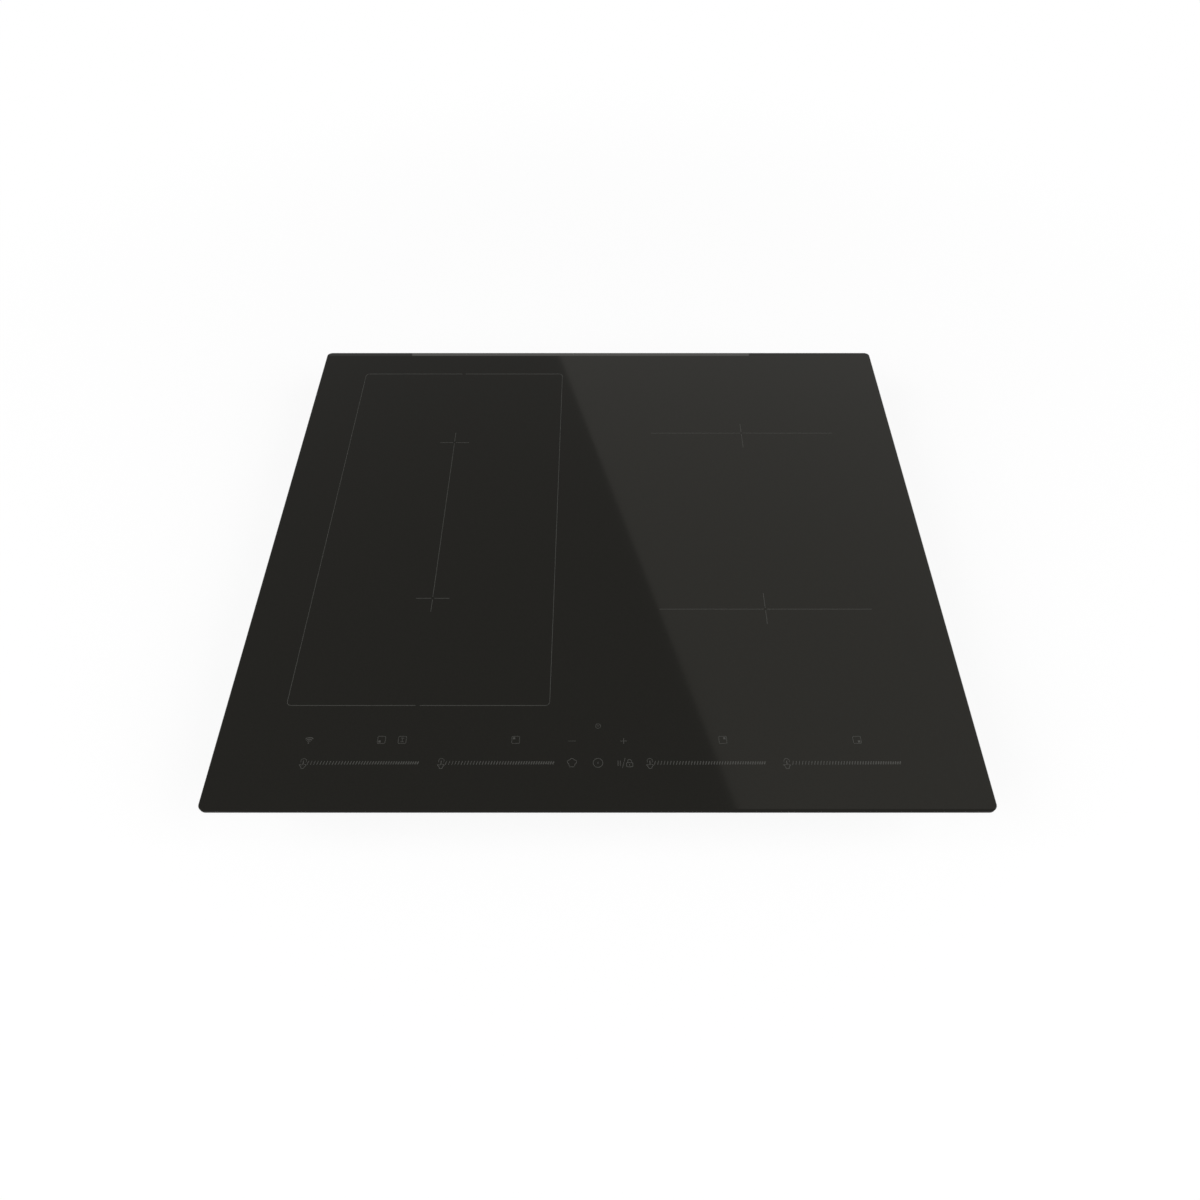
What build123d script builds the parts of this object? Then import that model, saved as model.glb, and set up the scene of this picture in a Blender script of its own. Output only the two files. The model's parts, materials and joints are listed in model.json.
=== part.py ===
from build123d import *
import os
from math import cos, dist, radians, sin

# A built-in induction hob: a frameless glass top over a stepped steel tray.
# Millimetres, +Z up, touch controls towards -Y, origin under the glass centre at the tray's base.

# Glass top
GLASS_W = 590.0
GLASS_D = 520.0
GLASS_T = 4.0
GLASS_CORNER_R = 5.5
BACK_BEVEL_W = 5.6
BACK_BEVEL_DROP = 0.8
FRONT_BEVEL_W = 1.5
FRONT_BEVEL_DROP = 0.75
ARRIS = 0.5

# Tray
OVERHANG = 20.0
CASE_H = 54.0
SHEET = 0.8
CASE_CORNER_R = 10.0
BEND_R = 2.5
SHOULDER_W = 30.0
SHOULDER_Z = 20.0
TRAY_RIM_GAP = 1.2
BEAD_RIB_W = 10.0
BEAD_RIB_H = 1.2
BEAD_RIB_L = 380.0
BEAD_RIB_YS = (10.0, -15.0, -160.0, -185.0)
VENT_W = 4.0
VENT_L = 22.0
VENT_PITCH = 12.0
VENT_Z = 23.0
GRILLE_RADII = (11.0, 19.5, 28.0)
GRILLE_SLOT_W = 5.0
GRILLE_SPOKES = 6
GRILLE_SPOKE_W = 4.0

# Worktop seal, glass bead and support frame
SEAL_W = 12.0
SEAL_T = 3.0
SEAL_INSET = 3.0
SEAL_ROUND = 0.8
BEAD_T = 1.0
BEAD_W = 9.0
BEAD_INSET = 1.0
FRAME_T = 1.0
FRAME_FLANGE = 12.0
FRAME_LEG = 15.0
FRAME_GAP = 0.2
FRAME_INNER_R = 3.0

# Screws
SCREW_R = 2.0
SCREW_HEAD_R = 4.0
SCREW_HEAD_H = 2.2
SCREW_L = 6.0
HOLE_GAP = 0.2
RIM_SCREW_DROP = 9.0
SIDE_SCREW_PITCH = 150.0
END_SCREW_PITCH = 320.0
DIMPLE_R = 7.0
DIMPLE_SINK = 0.4
# Shares of a screw head: edge rounding, and the width, length and floor of its recess
HEAD_ROUND = 0.6
RECESS_W = 0.28
RECESS_L = 1.1
RECESS_FLOOR = 0.45

# Coil deck and its posts
DECK_DROP = 18.0
DECK_T = 1.2
DECK_EDGE_GAP = 10.0
DECK_CORNER_R = 12.0
POST_R = 5.0
POST_TIP_R = 3.0
RIVET_R = 4.4
RIVET_H = 1.0
POST_INSET_X = 13.0
POST_INSET_Y = 25.0
POST_MID_Y = 78.0

# Cooking zones: centre and winding diameter
ZONE_X = 144.0
ZONES = {
    "rear_left": (-ZONE_X, 124.0, 176.0),
    "front_left": (-ZONE_X, -67.4, 176.0),
    "rear_right": (ZONE_X, 135.9, 166.0),
    "front_right": (ZONE_X, -78.8, 180.0),
}
INSULATION_T = 1.0
INSULATION_HOLE_R = 9.5
COIL_GAP = 0.4
WIRE_D = 3.6
WIRE_GAP = 0.8
WIRE_SEAT = 0.1
WINDING_INNER_R = 24.0
CARRIER_T = 2.0
CARRIER_RIM_COVER = 0.5
CARRIER_RIM_W = 2.0
CARRIER_RIM_GAP = 1.2
HUB_BORE_R = 13.0
HUB_R = 20.0
SPOKE_MARGIN = 2.0
FERRITE_COUNT = 8
FERRITE_W = 12.0
FERRITE_T = 4.0
FERRITE_ROUND = 1.0
FERRITE_GAP = 0.15
FERRITE_END_INSET = 6.0
POCKET_WALL = 1.0
POCKET_H = 3.0
LUG_R = 7.0
LUG_OUT = 6.0
LUG_ANGLES = (0.0, 130.0, 230.0)
STUD_R = 2.0
STUD_FIT = 0.4
STUD_HEAD_R = 4.0
STUD_HEAD_H = 1.2
STUD_HEAD_GAP = 1.0
SPRING_R = 5.0
SPRING_WIRE = 1.0
SPRING_TURNS = 4
SPRING_SEAT = 0.1
SENSOR_STEM_R = 4.0
SENSOR_CAP_R = 7.0
SENSOR_CAP_H = 7.5
SENSOR_FOOT_R = 9.0
SENSOR_FOOT_H = 1.2
SENSOR_CAP_ROUND = 1.8
SENSOR_GAP = 0.2

# Power electronics
BOARD_W = 200.0
BOARD_D = 200.0
BOARD_T = 1.6
BOARD_CORNER_R = 4.0
BOARD_X = 128.0
BOARD_Y = -35.0
BOARD_Z = 8.0
SPACER_R = 3.5
SPACER_TIP_R = 1.8
SPACER_TIP_H = 2.0
SPACER_INSET = 8.0
SINK_W = 56.0
SINK_L = 140.0
SINK_BASE = 4.0
SINK_TOP_GAP = 3.0
SINK_FRONT_GAP = 5.0
FIN_T = 1.6
FIN_COUNT = 11
TRANSISTOR_W = 16.0
TRANSISTOR_D = 21.0
TRANSISTOR_H = 5.0
TRANSISTOR_CHAMFER = 1.0
TRANSISTOR_COUNT = 4
TRANSISTOR_PITCH = 33.0
CAPACITOR_W = 32.0
CAPACITOR_D = 18.0
CAPACITOR_H = 20.0
CAPACITOR_ROUND = 1.5
CAPACITOR_OFFSETS = ((48.0, 85.0), (48.0, 60.0), (48.0, 35.0), (84.0, 85.0))
CHOKE_R = 16.0
CHOKE_BORE_R = 7.0
CHOKE_H = 13.0
CHOKE_ROUND = 3.0
CHOKE_OFFSETS = ((50.0, -10.0), (50.0, -50.0))

# Blowers
BLOWER_X = 130.0
BLOWER_Y = 125.0
BLOWER_TOP_GAP = 3.2
BLOWER_FLOOR = 1.6
BLOWER_COVER_T = 2.0
SCROLL_R = 39.0
SCROLL_GROW = 10.0
SCROLL_WALL = 2.0
OUTLET_REACH = 50.0
TONGUE_DROP = 8.0
INTAKE_R = 32.0
BLOWER_LUG_R = 6.5
BLOWER_LUG_OUT = 9.0
BLOWER_LUG_H = 7.0
IMPELLER_R = 34.0
IMPELLER_LIFT = 2.5
IMPELLER_TOP_GAP = 3.9
IMPELLER_PLATE = 1.5
BLADE_INNER_R = 27.0
BLADE_COUNT = 30
BLADE_SWEEP = 12.0
BLADE_BOW = 2.4
BLADE_ANGLE_T = 1.8
BLADE_RING_W = 2.5
BLADE_RING_H = 2.0
CUP_R = 18.5
CUP_WALL = 1.5
CUP_H = 16.5
HUB_BOSS_R = 4.5
HUB_BOSS_H = 4.0
SHAFT_R = 1.5
SHAFT_FIT = 0.02
SHAFT_TOP_GAP = 1.0
BEARING_R = 4.0
BEARING_RUN = 0.04
MOTOR_BOSS_R = 6.5
MOTOR_BOSS_GAP = 1.5
STATOR_R = 15.5
STATOR_FIT = 0.05
STATOR_H = 8.0
STATOR_TEETH = 9
STATOR_SLOT_W = 3.0

# Terminal box
TERM_X = 168.0
TERM_W = 96.0
TERM_D = 64.0
TERM_H = 26.0
TERM_WALL = 2.4
LID_GAP = 0.7
LID_T = 2.0
LID_LIFT = 0.3
BARREL_R = 2.2
PIN_R = 1.4
PIN_RUN = 0.05
PIN_L = 1.8
TONGUE_W = 14.0
TONGUE_T = 1.6
TONGUE_H = 9.0
TONGUE_SPACING = 60.0
LID_LINE_W = 1.2
LID_LINE_DEPTH = 0.6
LID_LINE_INSET = 6.0
LID_LINE_R = 3.0
GRIP_COUNT = 5
GRIP_PITCH = 3.0
GRIP_L = 34.0
GRIP_BACK = 12.0
PRY_W = 12.0
PRY_DEPTH = 2.0
PRY_H = 1.2
INLET_R = 7.5
INLET_Z = 16.0
INLET_COLLAR_R = 10.5
INLET_COLLAR_L = 6.0
INLET_FIT = 0.4
CLAMP_W = 36.0
CLAMP_D = 9.0
CLAMP_H = 4.5
CLAMP_CORNER_R = 3.0
CLAMP_SPAN = 26.0
CLAMP_Z = 6.5
CLAMP_BACK = 18.0
CLAMP_NOTCH_R = 8.0
CLAMP_POST_R = 3.6
POLE_COUNT = 5
POLE_PITCH = 12.0
POLE_WELL_R = 3.4
POLE_WELL_DEPTH = 8.0
POLE_SCREW_R = 3.0
POLE_SCREW_H = 2.4
POLE_SLOT_W = 0.8
POLE_SLOT_DEPTH = 1.2
BLOCK_D = 20.0
BLOCK_H = 15.0
BLOCK_FRONT = 12.0
BLOCK_MARGIN = 3.0
BLOCK_CHAMFER = 1.0
WIRE_HOLE_R = 2.4
WIRE_HOLE_DROP = 5.0

# Touch controls
TOUCH_Y = 54.0
TOUCH_W = 470.0
TOUCH_D = 50.0
TOUCH_T = 1.6
TOUCH_DROP = 7.0
TOUCH_FIT = 0.4
TOUCH_WALL = 2.0
TOUCH_POCKET = 4.0
TOUCH_FLOOR = 1.2
TOUCH_RIM = 2.0
TOUCH_RIB_W = 3.0
TOUCH_RIB_XS = (-200.0, -100.0, 0.0, 100.0, 200.0)
TOUCH_FEET_XS = (-190.0, -90.0, 90.0, 190.0)
TOUCH_FOOT_R = 5.0
TOUCH_FEET_Y = 16.0
GUIDE_GAP = 0.2
SLIDER_STARTS = (-220.6, -115.5, 43.7, 148.9)
SLIDER_L = 83.0
SLIDER_W = 5.0
SLIDER_BACK = 38.0
ICON_XS = (-167.8, -151.5, -63.2, 97.1, 200.9)
ICON_W = 9.0
ICON_R = 1.5
ICON_BACK = 57.1
RADIO_X = -215.0
RADIO_W = 24.0
RADIO_D = 18.0
RADIO_T = 3.0

# Fixing brackets
BRACKET_W = 18.0
BRACKET_L = 72.0
BRACKET_T = 2.0
BRACKET_TAB = 9.0
BRACKET_BEND = 1.5
BRACKET_END_R = 8.0
BRACKET_GAP = 0.3
BRACKET_RUN = 0.05
BRACKET_Y = 150.0
BRACKET_SCREW_R = 2.5
BRACKET_HEAD_R = 4.8
BRACKET_HEAD_H = 2.8
COLLAR_R = 5.0
COLLAR_H = 3.0

# Levels and outlines that follow from the sizes above
STANDING = (Align.CENTER, Align.CENTER, Align.MIN)
CASE_W = GLASS_W - 2 * OVERHANG
CASE_D = GLASS_D - 2 * OVERHANG
TUB_W = CASE_W - 2 * SHOULDER_W
TOP_Z = CASE_H + GLASS_T
FRAME_W = CASE_W - 2 * (SHEET + FRAME_GAP)
FRAME_D = CASE_D - 2 * (SHEET + FRAME_GAP)
FRAME_TOP = CASE_H - BEAD_T
FRAME_CORNER_R = CASE_CORNER_R - SHEET - FRAME_GAP
RIM_SCREW_Z = CASE_H - RIM_SCREW_DROP
DECK_Z = CASE_H - DECK_DROP
DECK_TOP = DECK_Z + DECK_T
DECK_W = FRAME_W - 2 * (FRAME_T + DECK_EDGE_GAP)
DECK_D = FRAME_D - 2 * (FRAME_T + DECK_EDGE_GAP)
DIMPLE_H = SCREW_HEAD_H + DIMPLE_SINK
DIMPLE_TOP = DIMPLE_H + SHEET
COIL_TOP = CASE_H - INSULATION_T - COIL_GAP
WIRE_PITCH = WIRE_D + WIRE_GAP
CARRIER_TOP = COIL_TOP - CARRIER_RIM_COVER - WIRE_D - WIRE_SEAT
CARRIER_Z = CARRIER_TOP - CARRIER_T
WINDING_Z = CARRIER_TOP + WIRE_SEAT + WIRE_D / 2
SINK_X = TONGUE_DROP / 2 + (SCROLL_R + SCROLL_GROW) / 2
SINK_Y = BLOWER_Y - OUTLET_REACH - SINK_FRONT_GAP - SINK_L / 2
BOARD_TOP = BOARD_Z + BOARD_T
SINK_Z = BOARD_TOP + TRANSISTOR_H
SINK_TOP = DECK_Z - SINK_TOP_GAP
COVER_Z = DECK_Z - BLOWER_TOP_GAP - BLOWER_COVER_T
BLOWER_H = COVER_Z - SHEET
IMPELLER_Z = SHEET + BLOWER_FLOOR + IMPELLER_LIFT
CUP_TOP = COVER_Z - IMPELLER_TOP_GAP
IMPELLER_H = CUP_TOP - IMPELLER_Z
CUP_Z = CUP_TOP - CUP_H
HUB_TOP = CUP_Z + CUP_WALL + HUB_BOSS_H
BEARING_Z = HUB_TOP + MOTOR_BOSS_GAP
TERM_BACK = CASE_D / 2 - SHEET
TERM_Y = TERM_BACK - TERM_D / 2
TERM_TOP = SHEET + TERM_H
TERM_CAVITY_W = TERM_W - 2 * TERM_WALL
TERM_CAVITY_D = TERM_D - 2 * TERM_WALL
TERM_FRONT = TERM_Y - TERM_CAVITY_D / 2
HINGE_Y = TERM_FRONT + LID_GAP + BARREL_R
HINGE_Z = LID_LIFT + BARREL_R
CLAMP_Y = TERM_BACK - CLAMP_BACK
TOUCH_CENTRE_Y = TOUCH_Y - GLASS_D / 2
TOUCH_Z = CASE_H - TOUCH_DROP
BRACKET_X = TUB_W / 2 + SHOULDER_W / 2
BRACKET_Z = SHOULDER_Z - BRACKET_GAP - BRACKET_T
BRACKET_SCREW_L = BRACKET_GAP + BRACKET_T + BRACKET_GAP + SHEET + COLLAR_H
SIDES = {"left": -1, "right": 1}
POINTS_PER_TURN = 48
POST_SPOTS = [
    (x, y)
    for x in (-TUB_W / 2 + POST_INSET_X, 0.0, TUB_W / 2 - POST_INSET_X)
    for y in (-CASE_D / 2 + POST_INSET_Y, POST_MID_Y, CASE_D / 2 - POST_INSET_Y)
]


def block(width, depth, low, high, at=(0.0, 0.0)):
    """Upright box between two heights."""
    return Pos(at[0], at[1], low) * Box(width, depth, high - low, align=STANDING)


def rod(radius, low, high, at=(0.0, 0.0)):
    """Upright cylinder between two heights."""
    return Pos(at[0], at[1], low) * Cylinder(radius, high - low, align=STANDING)


def tube(radius, bore, low, high, at=(0.0, 0.0)):
    """Upright ring between two heights."""
    return Pos(at[0], at[1], low) * extrude(Circle(radius) - Circle(bore), high - low)


def plate(width, depth, corner, low, high, at=(0.0, 0.0)):
    """Upright block with rounded corners between two heights."""
    return Pos(at[0], at[1], low) * extrude(RectangleRounded(width, depth, corner), high - low)


def ring_plate(width, depth, corner, rim, inner_corner, low, high):
    """Rectangular ring with rounded corners between two heights."""
    outer = RectangleRounded(width, depth, corner)
    inner = RectangleRounded(width - 2 * rim, depth - 2 * rim, inner_corner)
    return Pos(0, 0, low) * extrude(outer - inner, high - low)


def bottom_edges(solid):
    return solid.faces().sort_by(Axis.Z)[0].edges()


def polar(radius, angle, centre=(0.0, 0.0)):
    """Point at a radius and an angle in degrees."""
    return (centre[0] + radius * cos(radians(angle)), centre[1] + radius * sin(radians(angle)))


def least_gap(points, thickness):
    """Least clear distance of a wound wire to itself, measured on points along its middle line."""
    apart = 3 * POINTS_PER_TURN // 4
    pairs = [(a, b) for index, a in enumerate(points) for b in points[index + apart :]]
    return min(dist(a, b) for a, b in pairs) - thickness


def pan_screw(shank_r, length, head_r, head_h):
    """Pan-head screw with a cross recess: its seat at the origin, head up, shank down."""
    head = rod(head_r, 0, head_h)
    head = fillet(head.edges().sort_by(Axis.Z)[-1], HEAD_ROUND * head_h)
    arm = block(RECESS_W * head_r, RECESS_L * head_r, RECESS_FLOOR * head_h, 2 * head_h)
    return head + rod(shank_r, -length, 0) - [arm, Rot(0, 0, 90) * arm]


def bevel_cutter(width, drop):
    """Wedge over the back edge of the glass, along the whole width."""
    edge = GLASS_D / 2
    wedge = Plane.YZ * Polygon(
        (edge - width, TOP_Z),
        (edge + width, TOP_Z - 2 * drop),
        (edge + width, TOP_Z + drop),
        (edge - width, TOP_Z + drop),
    )
    return extrude(wedge, GLASS_W / 2 + width, both=True)


def glass_top():
    """Glass sheet with rounded corners, a ground arris, a wide bevel behind and a narrow one in front."""
    pane = plate(GLASS_W, GLASS_D, GLASS_CORNER_R, CASE_H, TOP_Z)
    faces = pane.faces().sort_by(Axis.Z)
    pane = chamfer(faces[0].edges() + faces[-1].edges(), ARRIS)
    back_cut = bevel_cutter(BACK_BEVEL_W, BACK_BEVEL_DROP)
    front_cut = mirror(bevel_cutter(FRONT_BEVEL_W, FRONT_BEVEL_DROP), about=Plane.XZ)
    return pane - [back_cut, front_cut]


def worktop_seal():
    """Four foam strips under the overhanging glass rim."""
    long_x = GLASS_W - 2 * SEAL_INSET
    long_y = GLASS_D - 2 * (SEAL_INSET + SEAL_W)
    out_x = GLASS_W / 2 - SEAL_INSET - SEAL_W / 2
    out_y = GLASS_D / 2 - SEAL_INSET - SEAL_W / 2
    strips = [block(long_x, SEAL_W, CASE_H - SEAL_T, CASE_H, (0, side * out_y)) for side in (-1, 1)]
    strips += [block(SEAL_W, long_y, CASE_H - SEAL_T, CASE_H, (side * out_x, 0)) for side in (-1, 1)]
    return [fillet(bottom_edges(strip), SEAL_ROUND) for strip in strips]


def glass_adhesive():
    """Silicone bead between the frame's flange and the glass."""
    return ring_plate(
        FRAME_W - 2 * BEAD_INSET,
        FRAME_D - 2 * BEAD_INSET,
        FRAME_CORNER_R - BEAD_INSET,
        BEAD_W,
        FRAME_INNER_R,
        FRAME_TOP,
        CASE_H,
    )


def rim_screw_places():
    """Seat and outward direction of every screw round the tray wall."""
    places = []
    for side in (-1, 1):
        for y in (-SIDE_SCREW_PITCH, 0.0, SIDE_SCREW_PITCH):
            places.append(Pos(side * CASE_W / 2, y, RIM_SCREW_Z) * Rot(0, side * 90, 0))
        for x in (-END_SCREW_PITCH / 2, END_SCREW_PITCH / 2):
            places.append(Pos(x, side * CASE_D / 2, RIM_SCREW_Z) * Rot(-side * 90, 0, 0))
    return places


def rim_screw_holes():
    hole = Cylinder(SCREW_R + HOLE_GAP, 2 * SCREW_L)
    return [place * hole for place in rim_screw_places()]


def support_frame():
    """L-section frame: a flange bonded to the glass and a leg inside the tray wall."""
    flange = ring_plate(
        FRAME_W, FRAME_D, FRAME_CORNER_R, FRAME_FLANGE, FRAME_INNER_R, FRAME_TOP - FRAME_T, FRAME_TOP
    )
    leg = ring_plate(
        FRAME_W, FRAME_D, FRAME_CORNER_R, FRAME_T, FRAME_CORNER_R - FRAME_T, FRAME_TOP - FRAME_LEG, FRAME_TOP
    )
    return flange + leg - rim_screw_holes()


def blower_spots():
    return {name: (side * BLOWER_X, BLOWER_Y) for name, side in SIDES.items()}


def blower_lug_spots():
    """Local lug centres with the direction each lug reaches out."""
    low = polar(SCROLL_R + SCROLL_GROW + SCROLL_WALL + BLOWER_LUG_OUT, 225, (SCROLL_GROW, 0))
    high = polar(SCROLL_R + SCROLL_WALL + BLOWER_LUG_OUT, 45)
    return [(low, 225), (high, 45)]


def turned(point, centre):
    """A blower's local point in the hob's frame: the outlet turns from +X to -Y."""
    return (centre[0] + point[1], centre[1] - point[0])


def floor_screw_spots():
    spots = list(POST_SPOTS)
    for centre in blower_spots().values():
        spots += [turned(lug, centre) for lug, angle in blower_lug_spots()]
    return spots


def bracket_spots():
    return {
        "front_left": (-BRACKET_X, -BRACKET_Y),
        "front_right": (BRACKET_X, -BRACKET_Y),
        "rear_left": (-BRACKET_X, BRACKET_Y),
        "rear_right": (BRACKET_X, BRACKET_Y),
    }


def intake_grille(centre):
    """Rings of slots under a blower."""
    slots = Sketch()
    for radius in GRILLE_RADII:
        slots += Circle(radius + GRILLE_SLOT_W / 2) - Circle(radius - GRILLE_SLOT_W / 2)
    spoke = Rectangle(2 * (GRILLE_RADII[-1] + GRILLE_SLOT_W), GRILLE_SPOKE_W)
    for index in range(GRILLE_SPOKES // 2):
        slots -= Rot(0, 0, index * 360 / GRILLE_SPOKES) * spoke
    return Pos(centre[0], centre[1], -SHEET) * extrude(slots, 3 * SHEET)


def wall_vents():
    """Upright slots through the front wall, and through the rear wall beside the terminal box."""
    slot = extrude(Plane.XZ * SlotOverall(VENT_L, VENT_W, rotation=90), 2 * SHEET, both=True)
    reach = TUB_W / 2 - CASE_CORNER_R - POST_INSET_X
    count = int(2 * reach / VENT_PITCH)
    xs = [(index - (count - 1) / 2) * VENT_PITCH for index in range(count)]
    front = [Pos(x, -CASE_D / 2, VENT_Z) * slot for x in xs]
    rear = [Pos(x, CASE_D / 2, VENT_Z) * slot for x in xs if x < TERM_X - TERM_W / 2 - VENT_PITCH]
    return front + rear


def base_tray():
    """Pressed tray: a central tub with a raised shoulder on each side, ribs, dimples and vents."""
    tub = plate(TUB_W, CASE_D, CASE_CORNER_R, 0, SHOULDER_Z + SHEET)
    tub = fillet(bottom_edges(tub), BEND_R)
    upper = plate(CASE_W, CASE_D, CASE_CORNER_R, SHOULDER_Z, CASE_H - TRAY_RIM_GAP)
    inside_d = CASE_D - 2 * SHEET
    inside_r = CASE_CORNER_R - SHEET
    tub_in = plate(TUB_W - 2 * SHEET, inside_d, inside_r, SHEET, CASE_H)
    tub_in = fillet(bottom_edges(tub_in), BEND_R - SHEET)
    upper_in = plate(CASE_W - 2 * SHEET, inside_d, inside_r, SHOULDER_Z + SHEET, CASE_H)
    tray = tub + upper - [tub_in, upper_in]

    rib = SlotOverall(BEAD_RIB_L, BEAD_RIB_W)
    rib_in = SlotOverall(BEAD_RIB_L + 2 * SHEET, BEAD_RIB_W + 2 * SHEET)
    raised = [Pos(0, y, 0) * extrude(rib_in, BEAD_RIB_H + SHEET) for y in BEAD_RIB_YS]
    raised += [rod(DIMPLE_R + SHEET, 0, DIMPLE_TOP, spot) for spot in floor_screw_spots()]
    raised += [
        rod(COLLAR_R, SHOULDER_Z, SHOULDER_Z + SHEET + COLLAR_H, spot) for spot in bracket_spots().values()
    ]
    tray = tray + raised

    cuts = [Pos(0, y, 0) * extrude(rib, BEAD_RIB_H) for y in BEAD_RIB_YS]
    cuts += [rod(DIMPLE_R, -SHEET, DIMPLE_H, spot) for spot in floor_screw_spots()]
    cuts += [rod(SCREW_R + HOLE_GAP, 0, 2 * DIMPLE_TOP, spot) for spot in floor_screw_spots()]
    cuts += [
        rod(BRACKET_SCREW_R + HOLE_GAP, 0, SHOULDER_Z + 2 * COLLAR_H, spot)
        for spot in bracket_spots().values()
    ]
    cuts += [intake_grille(spot) for spot in blower_spots().values()]
    cuts += rim_screw_holes()
    cuts += wall_vents()
    cuts.append(block(TERM_CAVITY_W, TERM_CAVITY_D, -SHEET, 2 * SHEET, (TERM_X, TERM_Y)))
    inlet_w = 2 * (INLET_COLLAR_R + INLET_FIT)
    inlet = Box(inlet_w, 4 * SHEET, inlet_w)
    cuts.append(Pos(TERM_X, CASE_D / 2, INLET_Z) * inlet)
    return tray - cuts


def case_screws():
    """One size of screw throughout: round the tray wall, up through the floor and in the cable clamp."""
    screw = pan_screw(SCREW_R, SCREW_L, SCREW_HEAD_R, SCREW_HEAD_H)
    head_down = Rot(180, 0, 0) * screw
    screws = [place * screw for place in rim_screw_places()]
    screws += [Pos(x, y, DIMPLE_H) * head_down for x, y in floor_screw_spots()]
    screws += [Pos(x, CLAMP_Y, CLAMP_Z) * head_down for x in clamp_xs()]
    return screws


def lug_spots(zone):
    """Centres of a coil carrier's three lugs: the single lug points to the hob's middle."""
    x, y, diameter = ZONES[zone]
    turn = 0.0 if x < 0 else 180.0
    reach = carrier_radius(diameter) + LUG_OUT
    return [polar(reach, turn + angle, (x, y)) for angle in LUG_ANGLES]


def all_lug_spots():
    return [spot for zone in ZONES for spot in lug_spots(zone)]


def carrier_radius(diameter):
    return diameter / 2 + CARRIER_RIM_GAP + CARRIER_RIM_W


def coil_deck():
    """Aluminium sheet that carries the coils and screens what lies under them."""
    deck = plate(DECK_W, DECK_D, DECK_CORNER_R, DECK_Z, DECK_TOP)
    holes = [rod(POST_TIP_R + HOLE_GAP, 0, CASE_H, spot) for spot in POST_SPOTS]
    holes += [rod(STUD_R + HOLE_GAP, 0, CASE_H, spot) for spot in all_lug_spots()]
    return deck - holes


def deck_posts():
    """Posts from the tray floor, riveted over above the deck, with a threaded foot."""
    posts = []
    for spot in POST_SPOTS:
        post = rod(POST_R, DIMPLE_TOP, DECK_Z, spot) + rod(POST_TIP_R, DECK_Z, DECK_TOP, spot)
        post += rod(RIVET_R, DECK_TOP, DECK_TOP + RIVET_H, spot)
        posts.append(post - rod(SCREW_R + HOLE_GAP, 0, DIMPLE_H + 2 * SCREW_L, spot))
    return posts


def guide_studs():
    """Studs set in the deck that guide the floating carriers under retaining heads."""
    head_z = CARRIER_TOP + STUD_HEAD_GAP
    studs = []
    for spot in all_lug_spots():
        stud = rod(STUD_R, DECK_Z, head_z + STUD_HEAD_H, spot)
        stud += rod(STUD_HEAD_R, head_z, head_z + STUD_HEAD_H, spot)
        studs.append(stud)
    return studs


def heat_sensors():
    """Sensor posts that stand on the deck and reach through the coil hubs to the glass."""
    top = CASE_H - SENSOR_GAP
    sensors = []
    for x, y, diameter in ZONES.values():
        spot = (x, y)
        cap = rod(SENSOR_CAP_R, top - SENSOR_CAP_H, top, spot)
        cap = fillet(cap.edges().sort_by(Axis.Z)[0], SENSOR_CAP_ROUND)
        stem = rod(SENSOR_STEM_R, DECK_TOP, top - SENSOR_CAP_H / 2, spot)
        sensors.append(stem + cap + rod(SENSOR_FOOT_R, DECK_TOP, DECK_TOP + SENSOR_FOOT_H, spot))
    return sensors


def coil_spring():
    """One helical spring from the deck to the underside of a carrier lug."""
    height = CARRIER_Z - DECK_TOP - SPRING_WIRE - 2 * SPRING_SEAT
    pitch = height / SPRING_TURNS
    path = Helix(pitch, height, SPRING_R, center=(0, 0, DECK_TOP + SPRING_SEAT + SPRING_WIRE / 2))
    section = Plane(origin=path @ 0, z_dir=path % 0) * Circle(SPRING_WIRE / 2)
    count = SPRING_TURNS * POINTS_PER_TURN
    points = [tuple(path @ (step / count)) for step in range(count + 1)]
    return sweep(section, path, is_frenet=True), least_gap(points, SPRING_WIRE)


def coil_carrier(zone):
    """Moulded coil former: hub, rim, open spokes, ferrite pockets below and three guide lugs."""
    x, y, diameter = ZONES[zone]
    outer = carrier_radius(diameter)
    ferrite_out = diameter / 2 - FERRITE_END_INSET
    spoke_w = FERRITE_W + 2 * (FERRITE_GAP + POCKET_WALL + SPOKE_MARGIN)
    web = Circle(ferrite_out) - Circle(WINDING_INNER_R + SPOKE_MARGIN)
    for index in range(FERRITE_COUNT // 2):
        web -= Rot(0, 0, index * 360 / FERRITE_COUNT) * Rectangle(2 * outer, spoke_w)
    body = tube(outer, HUB_BORE_R, CARRIER_Z, CARRIER_TOP) - Pos(0, 0, CARRIER_Z) * extrude(web, CARRIER_T)
    body += tube(outer, outer - CARRIER_RIM_W, CARRIER_TOP, COIL_TOP)
    body += tube(HUB_R, HUB_BORE_R, CARRIER_TOP, COIL_TOP)

    wall_y = FERRITE_W / 2 + FERRITE_GAP + POCKET_WALL / 2
    length = ferrite_out - WINDING_INNER_R
    middle = (ferrite_out + WINDING_INNER_R) / 2
    for index in range(FERRITE_COUNT):
        walls = [
            block(length, POCKET_WALL, CARRIER_Z - POCKET_H, CARRIER_Z, (middle, side * wall_y))
            for side in (-1, 1)
        ]
        body += [Rot(0, 0, index * 360 / FERRITE_COUNT) * wall for wall in walls]

    body = Pos(x, y, 0) * body
    for spot in lug_spots(zone):
        arm = (spot[0] + (x - spot[0]) * LUG_OUT / outer, spot[1] + (y - spot[1]) * LUG_OUT / outer)
        lug = rod(LUG_R, CARRIER_Z, CARRIER_TOP, spot) + rod(LUG_R, CARRIER_Z, CARRIER_TOP, arm)
        body += lug
    return body - [rod(STUD_R + STUD_FIT, 0, CASE_H, spot) for spot in lug_spots(zone)]


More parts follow.
